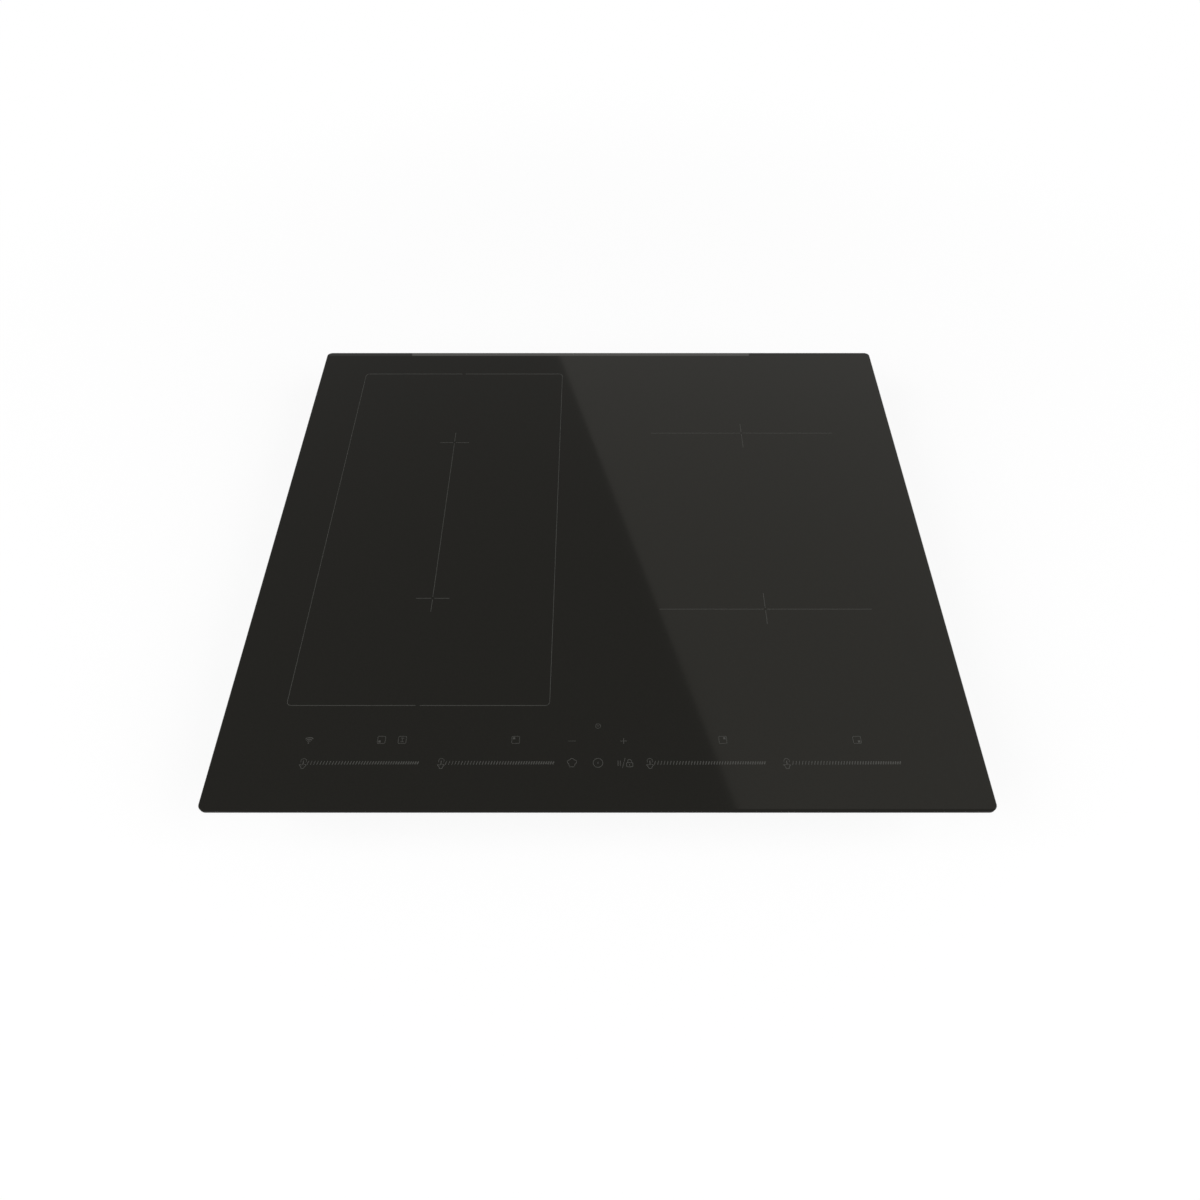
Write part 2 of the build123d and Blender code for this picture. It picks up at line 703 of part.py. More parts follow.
def ferrite_bars(zone):
    """Radial ferrite bars in the pockets under a coil."""
    x, y, diameter = ZONES[zone]
    ferrite_out = diameter / 2 - FERRITE_END_INSET
    length = ferrite_out - WINDING_INNER_R
    middle = (ferrite_out + WINDING_INNER_R) / 2
    bar = block(length, FERRITE_W, CARRIER_Z - FERRITE_T, CARRIER_Z, (middle, 0))
    bar = fillet(bar.edges().filter_by(Axis.Z), FERRITE_ROUND)
    return [Pos(x, y, 0) * Rot(0, 0, index * 360 / FERRITE_COUNT) * bar for index in range(FERRITE_COUNT)]


def winding_turns(diameter):
    return int((diameter / 2 - WINDING_INNER_R - WIRE_D / 2) / WIRE_PITCH)


def coil_winding(zone):
    """Flat spiral of litz wire, laid as half-turn arcs with straight tails."""
    x, y, diameter = ZONES[zone]
    turns = winding_turns(diameter)
    start = (WINDING_INNER_R, 0)
    runs = [Line((WINDING_INNER_R, -WIRE_D), start)]
    for turn in range(turns):
        radius = WINDING_INNER_R + turn * WIRE_PITCH
        runs.append(CenterArc((0, 0), radius, 0, 180))
        runs.append(CenterArc((WIRE_PITCH / 2, 0), radius + WIRE_PITCH / 2, 180, 180))
    end_r = WINDING_INNER_R + turns * WIRE_PITCH
    runs.append(Line((end_r, 0), (end_r, WIRE_D)))
    path = Wire([run.edge() for run in runs])
    section = Plane(origin=path @ 0, z_dir=path % 0) * Circle(WIRE_D / 2)
    return Pos(x, y, WINDING_Z) * sweep(section, path)


def winding_gap(diameter):
    """Least clear distance between the turns of a winding."""
    half = POINTS_PER_TURN // 2
    points = []
    for turn in range(winding_turns(diameter)):
        radius = WINDING_INNER_R + turn * WIRE_PITCH
        low_r = radius + WIRE_PITCH / 2
        points += [polar(radius, 180 * step / half) for step in range(half)]
        points += [polar(low_r, 180 + 180 * step / half, (WIRE_PITCH / 2, 0)) for step in range(half)]
    return least_gap(points, WIRE_D)


def insulating_discs():
    """Heat-insulating discs under the glass, one above each coil."""
    return [
        tube(diameter / 2, INSULATION_HOLE_R, CASE_H - INSULATION_T, CASE_H, (x, y))
        for x, y, diameter in ZONES.values()
    ]


def board_corners(side):
    half_w = BOARD_W / 2 - SPACER_INSET
    half_d = BOARD_D / 2 - SPACER_INSET
    return [(side * BOARD_X + dx, BOARD_Y + dy) for dx in (-half_w, half_w) for dy in (-half_d, half_d)]


def power_board(side):
    board = plate(BOARD_W, BOARD_D, BOARD_CORNER_R, BOARD_Z, BOARD_TOP, (side * BOARD_X, BOARD_Y))
    return board - [rod(SPACER_TIP_R + HOLE_GAP, 0, DECK_Z, spot) for spot in board_corners(side)]


def board_spacers():
    """Snap spacers that hold the power boards off the tray floor."""
    spacers = []
    for side in SIDES.values():
        for spot in board_corners(side):
            tip = rod(SPACER_TIP_R, BOARD_Z, BOARD_TOP + SPACER_TIP_H, spot)
            spacers.append(rod(SPACER_R, SHEET, BOARD_Z, spot) + tip)
    return spacers


def sink_x(side):
    """The heat sink lies in line with its blower's outlet."""
    return side * BLOWER_X - SINK_X


def heat_sink(side):
    """Extruded heat sink: a base with upright fins along the air stream."""
    x = sink_x(side)
    pitch = (SINK_W - FIN_T) / (FIN_COUNT - 1)
    profile = Pos(0, (SINK_Z + SINK_BASE / 2)) * Rectangle(SINK_W, SINK_BASE)
    fin_h = SINK_TOP - SINK_Z
    for index in range(FIN_COUNT):
        profile += Pos(index * pitch - SINK_W / 2 + FIN_T / 2, SINK_Z + fin_h / 2) * Rectangle(FIN_T, fin_h)
    return Pos(x, SINK_Y, 0) * extrude(Plane.XZ * profile, SINK_L / 2, both=True)


def power_transistors():
    """Flat power packages between each board and its heat sink."""
    parts = []
    for side in SIDES.values():
        for index in range(TRANSISTOR_COUNT):
            y = SINK_Y + (index - (TRANSISTOR_COUNT - 1) / 2) * TRANSISTOR_PITCH
            body = block(TRANSISTOR_W, TRANSISTOR_D, BOARD_TOP, SINK_Z, (sink_x(side), y))
            parts.append(chamfer(body.edges().filter_by(Axis.Z), TRANSISTOR_CHAMFER))
    return parts


def film_capacitors():
    """Box film capacitors on the power boards."""
    parts = []
    for side in SIDES.values():
        for dx, dy in CAPACITOR_OFFSETS:
            spot = (sink_x(side) + dx, BOARD_Y - dy)
            body = block(CAPACITOR_W, CAPACITOR_D, BOARD_TOP, BOARD_TOP + CAPACITOR_H, spot)
            top = body.faces().sort_by(Axis.Z)[-1].edges()
            parts.append(fillet(body.edges().filter_by(Axis.Z) + top, CAPACITOR_ROUND))
    return parts


def filter_chokes():
    """Ring-core chokes on the power boards."""
    parts = []
    for side in SIDES.values():
        for dx, dy in CHOKE_OFFSETS:
            spot = (sink_x(side) + dx, BOARD_Y - dy)
            ring = tube(CHOKE_R, CHOKE_BORE_R, BOARD_TOP, BOARD_TOP + CHOKE_H, spot)
            rims = ring.edges().group_by(Axis.Z)
            parts.append(fillet(rims[0] + rims[-1], CHOKE_ROUND))
    return parts


def scroll_outline():
    """Air path of a blower, outlet towards +X: a half turn, a wider quarter turn and a straight outlet."""
    deep = SCROLL_R + SCROLL_GROW
    runs = [
        CenterArc((0, 0), SCROLL_R, 0, 180),
        CenterArc((SCROLL_GROW, 0), deep, 180, 90),
        Line((SCROLL_GROW, -deep), (OUTLET_REACH, -deep)),
        Line((OUTLET_REACH, -deep), (OUTLET_REACH, -TONGUE_DROP)),
        Line((OUTLET_REACH, -TONGUE_DROP), (SCROLL_R, -TONGUE_DROP)),
        Line((SCROLL_R, -TONGUE_DROP), (SCROLL_R, 0)),
    ]
    return make_face(runs)


def placed_blower_part(shape, centre):
    return Pos(centre[0], centre[1], 0) * Rot(0, 0, -90) * shape


def blower_housing():
    """Scroll shell with a round intake in its floor, an open outlet and two screw lugs."""
    air = scroll_outline()
    shell = Pos(0, 0, SHEET) * extrude(offset(air, SCROLL_WALL), BLOWER_H)
    for spot, angle in blower_lug_spots():
        arm_l = BLOWER_LUG_OUT + SCROLL_WALL
        middle = polar(-arm_l / 2, angle, spot)
        arm = Box(arm_l, 2 * BLOWER_LUG_R, BLOWER_LUG_H, align=STANDING)
        lug = rod(BLOWER_LUG_R, DIMPLE_TOP, DIMPLE_TOP + BLOWER_LUG_H, spot)
        shell += [lug, Pos(middle[0], middle[1], DIMPLE_TOP) * Rot(0, 0, angle) * arm]
    shell -= Pos(0, 0, SHEET + BLOWER_FLOOR) * extrude(air, BLOWER_H)
    deep = SCROLL_R + SCROLL_GROW
    mouth_y = -(deep + TONGUE_DROP) / 2
    mouth_z = SHEET + BLOWER_FLOOR
    mouth = block(4 * SCROLL_WALL, deep - TONGUE_DROP, mouth_z, 2 * BLOWER_H, (OUTLET_REACH, mouth_y))
    holes = [rod(SCREW_R + HOLE_GAP, 0, DIMPLE_H + SCREW_L, spot) for spot, angle in blower_lug_spots()]
    return shell - [mouth, rod(INTAKE_R, 0, BLOWER_H / 2), *holes]


def blower_cover():
    """Scroll cover with the motor boss hanging from it."""
    cover = Pos(0, 0, COVER_Z) * extrude(offset(scroll_outline(), SCROLL_WALL), BLOWER_COVER_T)
    cover += rod(MOTOR_BOSS_R, BEARING_Z, COVER_Z)
    return cover - rod(BEARING_R + SHAFT_FIT, BEARING_Z, COVER_Z)


def shaft_bearing():
    return tube(BEARING_R, SHAFT_R + BEARING_RUN, BEARING_Z, COVER_Z)


def motor_stator():
    """Laminated stator ring with slots, pressed on the motor boss."""
    core = Circle(STATOR_R) - Circle(MOTOR_BOSS_R + STATOR_FIT)
    slot = Rectangle(STATOR_R - MOTOR_BOSS_R, STATOR_SLOT_W)
    for index in range(STATOR_TEETH):
        core -= Rot(0, 0, index * 360 / STATOR_TEETH) * Pos(STATOR_R - STATOR_SLOT_W / 2, 0) * slot
    return Pos(0, 0, CUP_TOP - STATOR_H) * extrude(core, STATOR_H)


def impeller_shaft():
    return rod(SHAFT_R, CUP_Z, COVER_Z - SHAFT_TOP_GAP)


def impeller():
    """Forward-curved impeller: hub cup, back plate, curved blades and a stiffening ring."""
    inner_a = polar(BLADE_INNER_R, 0)
    middle_a = polar((BLADE_INNER_R + IMPELLER_R) / 2, BLADE_BOW)
    outer_a = polar(IMPELLER_R, BLADE_SWEEP)
    inner_b = polar(BLADE_INNER_R, BLADE_ANGLE_T)
    middle_b = polar((BLADE_INNER_R + IMPELLER_R) / 2, BLADE_BOW + BLADE_ANGLE_T)
    outer_b = polar(IMPELLER_R, BLADE_SWEEP + BLADE_ANGLE_T)
    profile = make_face(
        [
            ThreePointArc(inner_a, middle_a, outer_a),
            Line(outer_a, outer_b),
            ThreePointArc(outer_b, middle_b, inner_b),
            Line(inner_b, inner_a),
        ]
    )
    blade = Pos(0, 0, IMPELLER_Z) * extrude(profile, IMPELLER_H - IMPELLER_PLATE / 2)
    blades = [Rot(0, 0, index * 360 / BLADE_COUNT) * blade for index in range(BLADE_COUNT)]
    wheel = tube(IMPELLER_R, CUP_R - CUP_WALL, CUP_TOP - IMPELLER_PLATE, CUP_TOP)
    wheel += tube(IMPELLER_R, IMPELLER_R - BLADE_RING_W, IMPELLER_Z, IMPELLER_Z + BLADE_RING_H)
    cup = tube(CUP_R, CUP_R - CUP_WALL, CUP_Z, CUP_TOP) + rod(CUP_R, CUP_Z, CUP_Z + CUP_WALL)
    cup += rod(HUB_BOSS_R, CUP_Z, HUB_TOP)
    return wheel + [cup, *blades] - rod(SHAFT_R + SHAFT_FIT, 0, CASE_H)


def terminal_box():
    """Moulded wiring box, open below, with a cable inlet at the rear and hinge holes at the front."""
    box = block(TERM_W, TERM_D, SHEET, TERM_TOP, (TERM_X, TERM_Y))
    box = chamfer(bottom_edges(box).sort_by(Axis.Y)[-1], BEND_R - SHEET)
    box -= block(TERM_CAVITY_W, TERM_CAVITY_D, 0, TERM_TOP - TERM_WALL, (TERM_X, TERM_Y))
    collar = Box(2 * INLET_COLLAR_R, TERM_WALL + SHEET, 2 * INLET_COLLAR_R)
    box += Pos(TERM_X, CASE_D / 2 - (TERM_WALL + SHEET) / 2, INLET_Z) * collar
    inner = Cylinder(INLET_COLLAR_R, INLET_COLLAR_L + TERM_WALL, rotation=(90, 0, 0))
    box += Pos(TERM_X, TERM_BACK - (INLET_COLLAR_L + TERM_WALL) / 2, INLET_Z) * inner
    post_z = CLAMP_Z + CLAMP_H
    box += [rod(CLAMP_POST_R, post_z, TERM_TOP, (x, CLAMP_Y)) for x in clamp_xs()]
    hole_top = CLAMP_Z + SCREW_L + HOLE_GAP
    holes = [rod(SCREW_R + HOLE_GAP, CLAMP_Z, hole_top, (x, CLAMP_Y)) for x in clamp_xs()]
    bore = Cylinder(INLET_R, TERM_D / 2, rotation=(90, 0, 0))
    holes.append(Pos(TERM_X, TERM_BACK, INLET_Z) * bore)
    pin_hole = Cylinder(PIN_R + PIN_RUN, TERM_W + 2 * TERM_WALL, rotation=(0, 90, 0))
    holes.append(Pos(TERM_X, HINGE_Y, HINGE_Z) * pin_hole)
    return box - holes


def cover_marks(width, back, depth):
    """Cuts in the outer face of the wiring cover: a border line, grip lines and a notch to pry it open."""
    line = LID_LINE_W
    top = LID_LIFT + LID_LINE_DEPTH
    border = RectangleRounded(width - 2 * LID_LINE_INSET, depth - 2 * LID_LINE_INSET, LID_LINE_R)
    border -= offset(border, -line)
    cuts = [Pos(TERM_X, back - depth / 2, 0) * extrude(border, top)]
    for index in range(GRIP_COUNT):
        cuts.append(block(GRIP_L, line, 0, top, (TERM_X, back - GRIP_BACK - index * GRIP_PITCH)))
    cuts.append(block(PRY_W, 2 * PRY_DEPTH, 0, LID_LIFT + PRY_H, (TERM_X, back)))
    return cuts


def terminal_cover():
    """Cover plate with a hinge barrel and pins at its front edge and snap tongues at its rear."""
    width = TERM_CAVITY_W - 2 * LID_GAP
    back = TERM_Y + TERM_CAVITY_D / 2 - LID_GAP
    depth = back - HINGE_Y
    cover = block(width, depth, LID_LIFT, LID_LIFT + LID_T, (TERM_X, HINGE_Y + depth / 2))
    barrel = Cylinder(BARREL_R, width, rotation=(0, 90, 0))
    pins = Cylinder(PIN_R, width + 2 * (LID_GAP + PIN_L), rotation=(0, 90, 0))
    cover += Pos(TERM_X, HINGE_Y, HINGE_Z) * barrel
    cover += Pos(TERM_X, HINGE_Y, HINGE_Z) * pins
    tongue_y = back - LID_GAP - TONGUE_T / 2
    for dx in (-TONGUE_SPACING / 2, TONGUE_SPACING / 2):
        cover += block(TONGUE_W, TONGUE_T, LID_LIFT, LID_LIFT + TONGUE_H, (TERM_X + dx, tongue_y))
    return cover - cover_marks(width, back, depth)


def terminal_block():
    """Row of screw terminals under the ceiling of the wiring box."""
    top = TERM_TOP - TERM_WALL
    y = TERM_FRONT + BLOCK_FRONT + BLOCK_D / 2
    width = POLE_COUNT * POLE_PITCH + 2 * BLOCK_MARGIN
    body = block(width, BLOCK_D, top - BLOCK_H, top, (TERM_X, y))
    body = chamfer(bottom_edges(body), BLOCK_CHAMFER)
    cuts = []
    for x in pole_xs():
        cuts.append(rod(POLE_WELL_R, 0, top - BLOCK_H + POLE_WELL_DEPTH, (x, y)))
        wire = Cylinder(WIRE_HOLE_R, BLOCK_D / 2, rotation=(90, 0, 0))
        cuts.append(Pos(x, y + BLOCK_D / 2, top - WIRE_HOLE_DROP) * wire)
    return body - cuts


def clamp_xs():
    return [TERM_X + dx for dx in (-CLAMP_SPAN / 2, CLAMP_SPAN / 2)]


def pole_xs():
    return [TERM_X + (index - (POLE_COUNT - 1) / 2) * POLE_PITCH for index in range(POLE_COUNT)]


def terminal_screws():
    """Slotted screws at the bottom of the terminal wells."""
    seat = TERM_TOP - TERM_WALL - BLOCK_H + POLE_WELL_DEPTH
    y = TERM_FRONT + BLOCK_FRONT + BLOCK_D / 2
    head_z = seat - POLE_SCREW_H
    slot = block(3 * POLE_SCREW_R, POLE_SLOT_W, head_z - POLE_SCREW_H, head_z + POLE_SLOT_DEPTH)
    screw = rod(POLE_SCREW_R, head_z, seat) - slot
    return [Pos(x, y, 0) * screw for x in pole_xs()]


def cable_clamp():
    """Saddle bar that grips the supply cable behind the inlet."""
    bar = plate(CLAMP_W, CLAMP_D, CLAMP_CORNER_R, CLAMP_Z, CLAMP_Z + CLAMP_H, (TERM_X, CLAMP_Y))
    notch = Cylinder(CLAMP_NOTCH_R, 2 * CLAMP_D, rotation=(90, 0, 0))
    holes = [rod(SCREW_R + HOLE_GAP, 0, TERM_TOP, (x, CLAMP_Y)) for x in clamp_xs()]
    return bar - [Pos(TERM_X, CLAMP_Y, INLET_Z) * notch, *holes]


def touch_board():
    return plate(TOUCH_W, TOUCH_D, TOUCH_WALL, TOUCH_Z, TOUCH_Z + TOUCH_T, (0, TOUCH_CENTRE_Y))


def touch_board_carrier():
    """Shallow moulded tray on the deck that holds the touch board under the glass."""
    inner_w = TOUCH_W + 2 * TOUCH_FIT
    inner_d = TOUCH_D + 2 * TOUCH_FIT
    floor_top = TOUCH_Z - TOUCH_POCKET
    floor_z = floor_top - TOUCH_FLOOR
    at = (0, TOUCH_CENTRE_Y)
    outer_w = inner_w + 2 * TOUCH_WALL
    outer_d = inner_d + 2 * TOUCH_WALL
    tray = plate(outer_w, outer_d, 2 * TOUCH_WALL, floor_z, TOUCH_Z + TOUCH_RIM, at)
    tray -= plate(inner_w, inner_d, TOUCH_WALL, floor_top, CASE_H, at)
    tray += [block(TOUCH_RIB_W, inner_d, floor_z, TOUCH_Z, (x, TOUCH_CENTRE_Y)) for x in TOUCH_RIB_XS]
    for x in TOUCH_FEET_XS:
        for side in (-1, 1):
            tray += rod(TOUCH_FOOT_R, DECK_TOP, floor_top, (x, TOUCH_CENTRE_Y + side * TOUCH_FEET_Y))
    return tray


def light_guides():
    """Clear bars between the touch board and the glass, behind the sliders and the zone keys."""
    low = TOUCH_Z + TOUCH_T
    high = CASE_H - GUIDE_GAP
    guides = []
    for start in SLIDER_STARTS:
        spot = (start + SLIDER_L / 2, SLIDER_BACK - GLASS_D / 2)
        guides.append(Pos(spot[0], spot[1], low) * extrude(SlotOverall(SLIDER_L, SLIDER_W), high - low))
    for x in ICON_XS:
        guides.append(plate(ICON_W, ICON_W, ICON_R, low, high, (x, ICON_BACK - GLASS_D / 2)))
    return guides


def radio_module():
    """Radio module on the underside of the touch board."""
    return plate(RADIO_W, RADIO_D, TOUCH_WALL, TOUCH_Z - RADIO_T, TOUCH_Z, (RADIO_X, TOUCH_CENTRE_Y))


def fixing_bracket(name):
    """Swivelling clamp strap with a turned-down tab, stowed along the tray's shoulder."""
    x, y = bracket_spots()[name]
    profile = Plane.YZ * Polygon(
        (-BRACKET_W / 2, 0),
        (BRACKET_L, 0),
        (BRACKET_L, -BRACKET_TAB),
        (BRACKET_L + BRACKET_T, -BRACKET_TAB),
        (BRACKET_L + BRACKET_T, BRACKET_T),
        (-BRACKET_W / 2, BRACKET_T),
    )
    strap = extrude(profile, BRACKET_W / 2, both=True)
    bends = strap.edges().filter_by(Axis.X)
    inner = bends.filter_by_position(Axis.Y, BRACKET_L - BRACKET_T / 2, BRACKET_L + BRACKET_T / 2)
    strap = fillet(inner.sort_by(Axis.Z)[-1], BRACKET_BEND)
    outer = strap.edges().filter_by(Axis.X).sort_by(Axis.Y)[-2:].sort_by(Axis.Z)[-1]
    strap = fillet(outer, BRACKET_BEND + BRACKET_T)
    strap = fillet(strap.edges().filter_by(Axis.Z).sort_by(Axis.Y)[:2], BRACKET_END_R)
    strap -= Cylinder(BRACKET_SCREW_R + BRACKET_RUN, 4 * BRACKET_T)
    turn = 0 if y < 0 else 180
    return Pos(x, y, BRACKET_Z) * Rot(0, 0, turn) * strap


def bracket_screws():
    screw = Rot(180, 0, 0) * pan_screw(BRACKET_SCREW_R, BRACKET_SCREW_L, BRACKET_HEAD_R, BRACKET_HEAD_H)
    return [Pos(x, y, BRACKET_Z - BRACKET_GAP) * screw for x, y in bracket_spots().values()]


def write(name, shapes):
    """Write one node: a single solid, or a group of separate solids."""
    parts = shapes if isinstance(shapes, list) else [shapes]
    solids = [solid for part in parts for solid in part.solids()]
    export_step(solids[0] if len(solids) == 1 else Compound(solids), f"parts/{name}.step")


def main():
    os.makedirs("parts", exist_ok=True)
    write("glass_top", glass_top())
    write("worktop_seal", worktop_seal())
    write("glass_adhesive", glass_adhesive())
    write("support_frame", support_frame())
    write("base_tray", base_tray())
    write("case_screws", case_screws())
    write("coil_deck", coil_deck())
    write("deck_posts", deck_posts())
    write("guide_studs", guide_studs())
    write("heat_sensors", heat_sensors())
    write("insulating_discs", insulating_discs())
    spring, spring_gap = coil_spring()
    print(f"spring: least gap between turns {spring_gap:.2f} mm")
    for zone, (x, y, diameter) in ZONES.items():
        write(f"coil_carrier_{zone}", coil_carrier(zone))
        write(f"ferrite_bars_{zone}", ferrite_bars(zone))
        write(f"coil_winding_{zone}", coil_winding(zone))
        write(f"coil_springs_{zone}", [Pos(spot[0], spot[1], 0) * spring for spot in lug_spots(zone)])
        gap = winding_gap(diameter)
        print(f"winding {zone}: {winding_turns(diameter)} turns, least gap {gap:.2f} mm")
    write("board_spacers", board_spacers())
    write("power_transistors", power_transistors())
    write("film_capacitors", film_capacitors())
    write("filter_chokes", filter_chokes())
    housing = blower_housing()
    cover = blower_cover()
    wheel = impeller()
    shaft = impeller_shaft()
    for name, side in SIDES.items():
        centre = blower_spots()[name]
        write(f"power_board_{name}", power_board(side))
        write(f"heat_sink_{name}", heat_sink(side))
        write(f"blower_housing_{name}", placed_blower_part(housing, centre))
        write(f"blower_cover_{name}", placed_blower_part(cover, centre))
        write(f"impeller_{name}", placed_blower_part(wheel, centre))
        write(f"impeller_shaft_{name}", placed_blower_part(shaft, centre))
    centres = blower_spots().values()
    write("shaft_bearings", [placed_blower_part(shaft_bearing(), centre) for centre in centres])
    write("motor_stators", [placed_blower_part(motor_stator(), centre) for centre in centres])
    write("terminal_box", terminal_box())
    write("terminal_cover", terminal_cover())
    write("terminal_block", terminal_block())
    write("terminal_screws", terminal_screws())
    write("cable_clamp", cable_clamp())
    write("touch_board", touch_board())
    write("touch_board_carrier", touch_board_carrier())
    write("light_guides", light_guides())
    write("radio_module", radio_module())
    for name in bracket_spots():
        write(f"fixing_bracket_{name}", fixing_bracket(name))
    write("bracket_screws", bracket_screws())


main()
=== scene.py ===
"""Looks of the built-in induction hob: finishes, printed signs, springs, windings, stage and camera."""

import json
import math

import bmesh
import bpy
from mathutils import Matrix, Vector

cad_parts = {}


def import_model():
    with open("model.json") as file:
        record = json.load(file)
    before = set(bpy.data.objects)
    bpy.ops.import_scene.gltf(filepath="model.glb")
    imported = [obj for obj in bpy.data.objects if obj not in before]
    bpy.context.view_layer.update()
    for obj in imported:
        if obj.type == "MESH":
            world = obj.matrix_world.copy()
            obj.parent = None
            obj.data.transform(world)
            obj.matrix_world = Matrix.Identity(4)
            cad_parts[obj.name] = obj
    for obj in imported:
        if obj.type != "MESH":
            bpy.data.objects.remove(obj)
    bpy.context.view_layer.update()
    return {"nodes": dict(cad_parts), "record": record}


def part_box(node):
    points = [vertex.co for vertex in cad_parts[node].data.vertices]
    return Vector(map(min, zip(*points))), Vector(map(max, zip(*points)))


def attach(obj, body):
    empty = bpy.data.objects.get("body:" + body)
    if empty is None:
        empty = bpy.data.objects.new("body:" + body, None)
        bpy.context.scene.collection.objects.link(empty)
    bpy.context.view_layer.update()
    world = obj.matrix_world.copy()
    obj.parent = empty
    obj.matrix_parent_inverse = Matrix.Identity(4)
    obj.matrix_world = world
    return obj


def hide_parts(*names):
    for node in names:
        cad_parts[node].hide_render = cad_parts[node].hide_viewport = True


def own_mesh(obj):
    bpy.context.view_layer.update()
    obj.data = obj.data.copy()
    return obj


MM = 0.001

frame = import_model()
nodes = frame["nodes"]
record = frame["record"]
glass_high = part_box("glass_top")[1]
ZONES = ("rear_left", "front_left", "rear_right", "front_right")

# Camera, solved on the outline of the glass: place (m), pitch (degrees), lens and sensor width (mm)
CAMERA_AT = (1.825 * MM, -487.87 * MM, glass_high.z + 593.39 * MM)
CAMERA_PITCH = 54.873
CAMERA_LENS = 25.164
SENSOR_WIDTH = 36.0

# Printed signs: heights over and under the glass surface, line widths (mm)
INK_OVER = 0.03 * MM
INK_UNDER = 0.02 * MM
ZONE_LINE = 0.42
BACK_LINE = 0.65
FRONT_LINE = 0.5
ICON_LINE = 0.44
FINE_LINE = 0.36

# Long zone on the left: outline, line gaps and its two crosses (mm from the glass centre)
FLEX_X = (-247.3, -38.2)
FLEX_Y = (-172.9, 224.5)
FLEX_CORNER_R = 3.5
FLEX_GAP = 3.4
LEFT_CROSS_X = -143.15
LEFT_CROSS_YS = (121.4, -68.6)
LEFT_ARM = 14.5
CROSS_GAP = 1.3
LEFT_TAIL = 14.0

# Round zones on the right: centre, left and right end of the long line, back and front end of the tick
RIGHT_CROSSES = (
    (143.8, 134.75, 53.0, 235.0, 148.1, 114.8),
    (143.8, -80.0, 53.0, 235.0, -63.2, -95.2),
)

# Touch controls: rows and places (mm)
TIMER_AT = (0.3, -191.0)
KEY_ROW = -202.8
SIGN_ROW = -203.8
LOWER_ROW = -221.95
RADIO_AT = (-223.3, -205.5)
ZONE_KEYS = ((-167.3, -1, -1), (-63.4, -1, 1), (96.9, 1, 1), (200.8, 1, -1))
BRIDGE_KEY = -151.2
MINUS_AT = -19.8
PLUS_AT = 20.1
SLIDERS = ((-220.4, -136.7), (-115.4, -33.2), (43.6, 127.35), (148.7, 230.8))
HAND_KEYS = (-224.0, -119.1, 39.85, 144.0)
HAT_AT = -19.5
POWER_AT = 0.3
PAUSE_AT = 16.4
SLASH_AT = 19.95
PADLOCK_AT = 24.4

# Touch controls: sizes (mm), and the first and last angle of two arcs (degrees)
RADIO_DOT_R = 0.6
RADIO_ARCS = (1.8, 3.2, 4.6)
RADIO_LINE = 0.65
RADIO_FAN = (48, 132)
KEY_SIZE = 6.0
KEY_CORNER_R = 0.9
KEY_FILL = 1.7
KEY_FILL_OUT = 1.35
BRIDGE_BAR = 2.6
BRIDGE_OUT = 1.5
TIMER_R = 1.95
TIMER_HANDS = ((-0.8, 0.9), (0.0, -0.3), (0.9, 0.5))
MINUS_LONG = 5.6
PLUS_REACH = 2.4
POWER_R = 3.65
POWER_BAR = (0.6, 1.8)
PAUSE_BAR = (0.5, 4.2)
PAUSE_GAP = 1.75
PAUSE_DROP = 0.3
SLASH = (2.2, 8.0)
PADLOCK = (4.8, 3.4)
PADLOCK_CORNER_R = 0.5
PADLOCK_DROP = 1.5
KEYHOLE = (0.6, 1.3)
SHACKLE_R = 1.45
SHACKLE_FOOT = 0.4
SHACKLE_BOW = 1.3
HAND_TIP = 1.5
HAND_RING_R = 2.1
HAND_RING = (-30, 210)
HAND_FINGER = (0.7, 3.6)
HAND_PALM = (
    (-0.9, -1.9),
    (-1.6, -1.4),
    (-2.7, -1.6),
    (-1.2, -3.5),
    (-0.8, -4.6),
    (1.1, -4.6),
    (1.5, -3.3),
    (2.6, -1.7),
    (0.9, -1.0),
)

# Cook's hat (mm): places and radii of its side and top lobes, half width and drop of its foot, its band
HAT_SIDE_LOBE = (1.9, 0.8)
HAT_SIDE_R = 1.6
HAT_TOP_LOBE = 2.1
HAT_TOP_R = 1.5
HAT_FOOT = (2.0, 2.4)
HAT_BAND_DROP = 3.2
HAT_BAND = 4.0

# Slider ticks (mm): pitch, height and thickness at the low and at the full end, slant
TICK_PITCH = (2.45, 1.75)
TICK_HEIGHT = (3.2, 2.3)
TICK_WIDTH = (0.48, 0.98)
TICK_SLANT = 0.9

# Coil springs (mm)
SPRING_R = 5.0
SPRING_WIRE = 1.0
SPRING_TURNS = 4
SPRING_END_TURN = 0.6
LUG_ANGLES = (0.0, 130.0, 230.0)

# Litz windings (mm): wire, its pitch and inner radius, strand bundles, depth of the grooves, length of one
# twist, step along the wire and corners of its section
WIRE_D = 3.6
WIRE_PITCH = 4.4
WINDING_INNER_R = 24.0
BUNDLES = 7
BUNDLE_GROOVE = 0.34
TWIST_LENGTH = 26.0
WINDING_STEP = 2.4
RING_SIDES = 3 * BUNDLES

# Colours of the glass sheen and the print, of the copper strands with painted shade in the grooves between
# them, and of details within the copper and circuit board finishes
GLASS_SHEEN = (1.0, 0.97, 0.86, 1.0)
INK_COLOR = (0.049, 0.0485, 0.044)
STRAND_GROOVE_SHADE = (0.20, 0.07, 0.025)
STRAND_CREST = (0.66, 0.32, 0.14)
STRAND_DULL = (0.42, 0.22, 0.10)
RESIST_DARK = (0.030, 0.165, 0.080)
RESIST_LIGHT = (0.055, 0.275, 0.140)
SOLDER = (0.62, 0.60, 0.55)

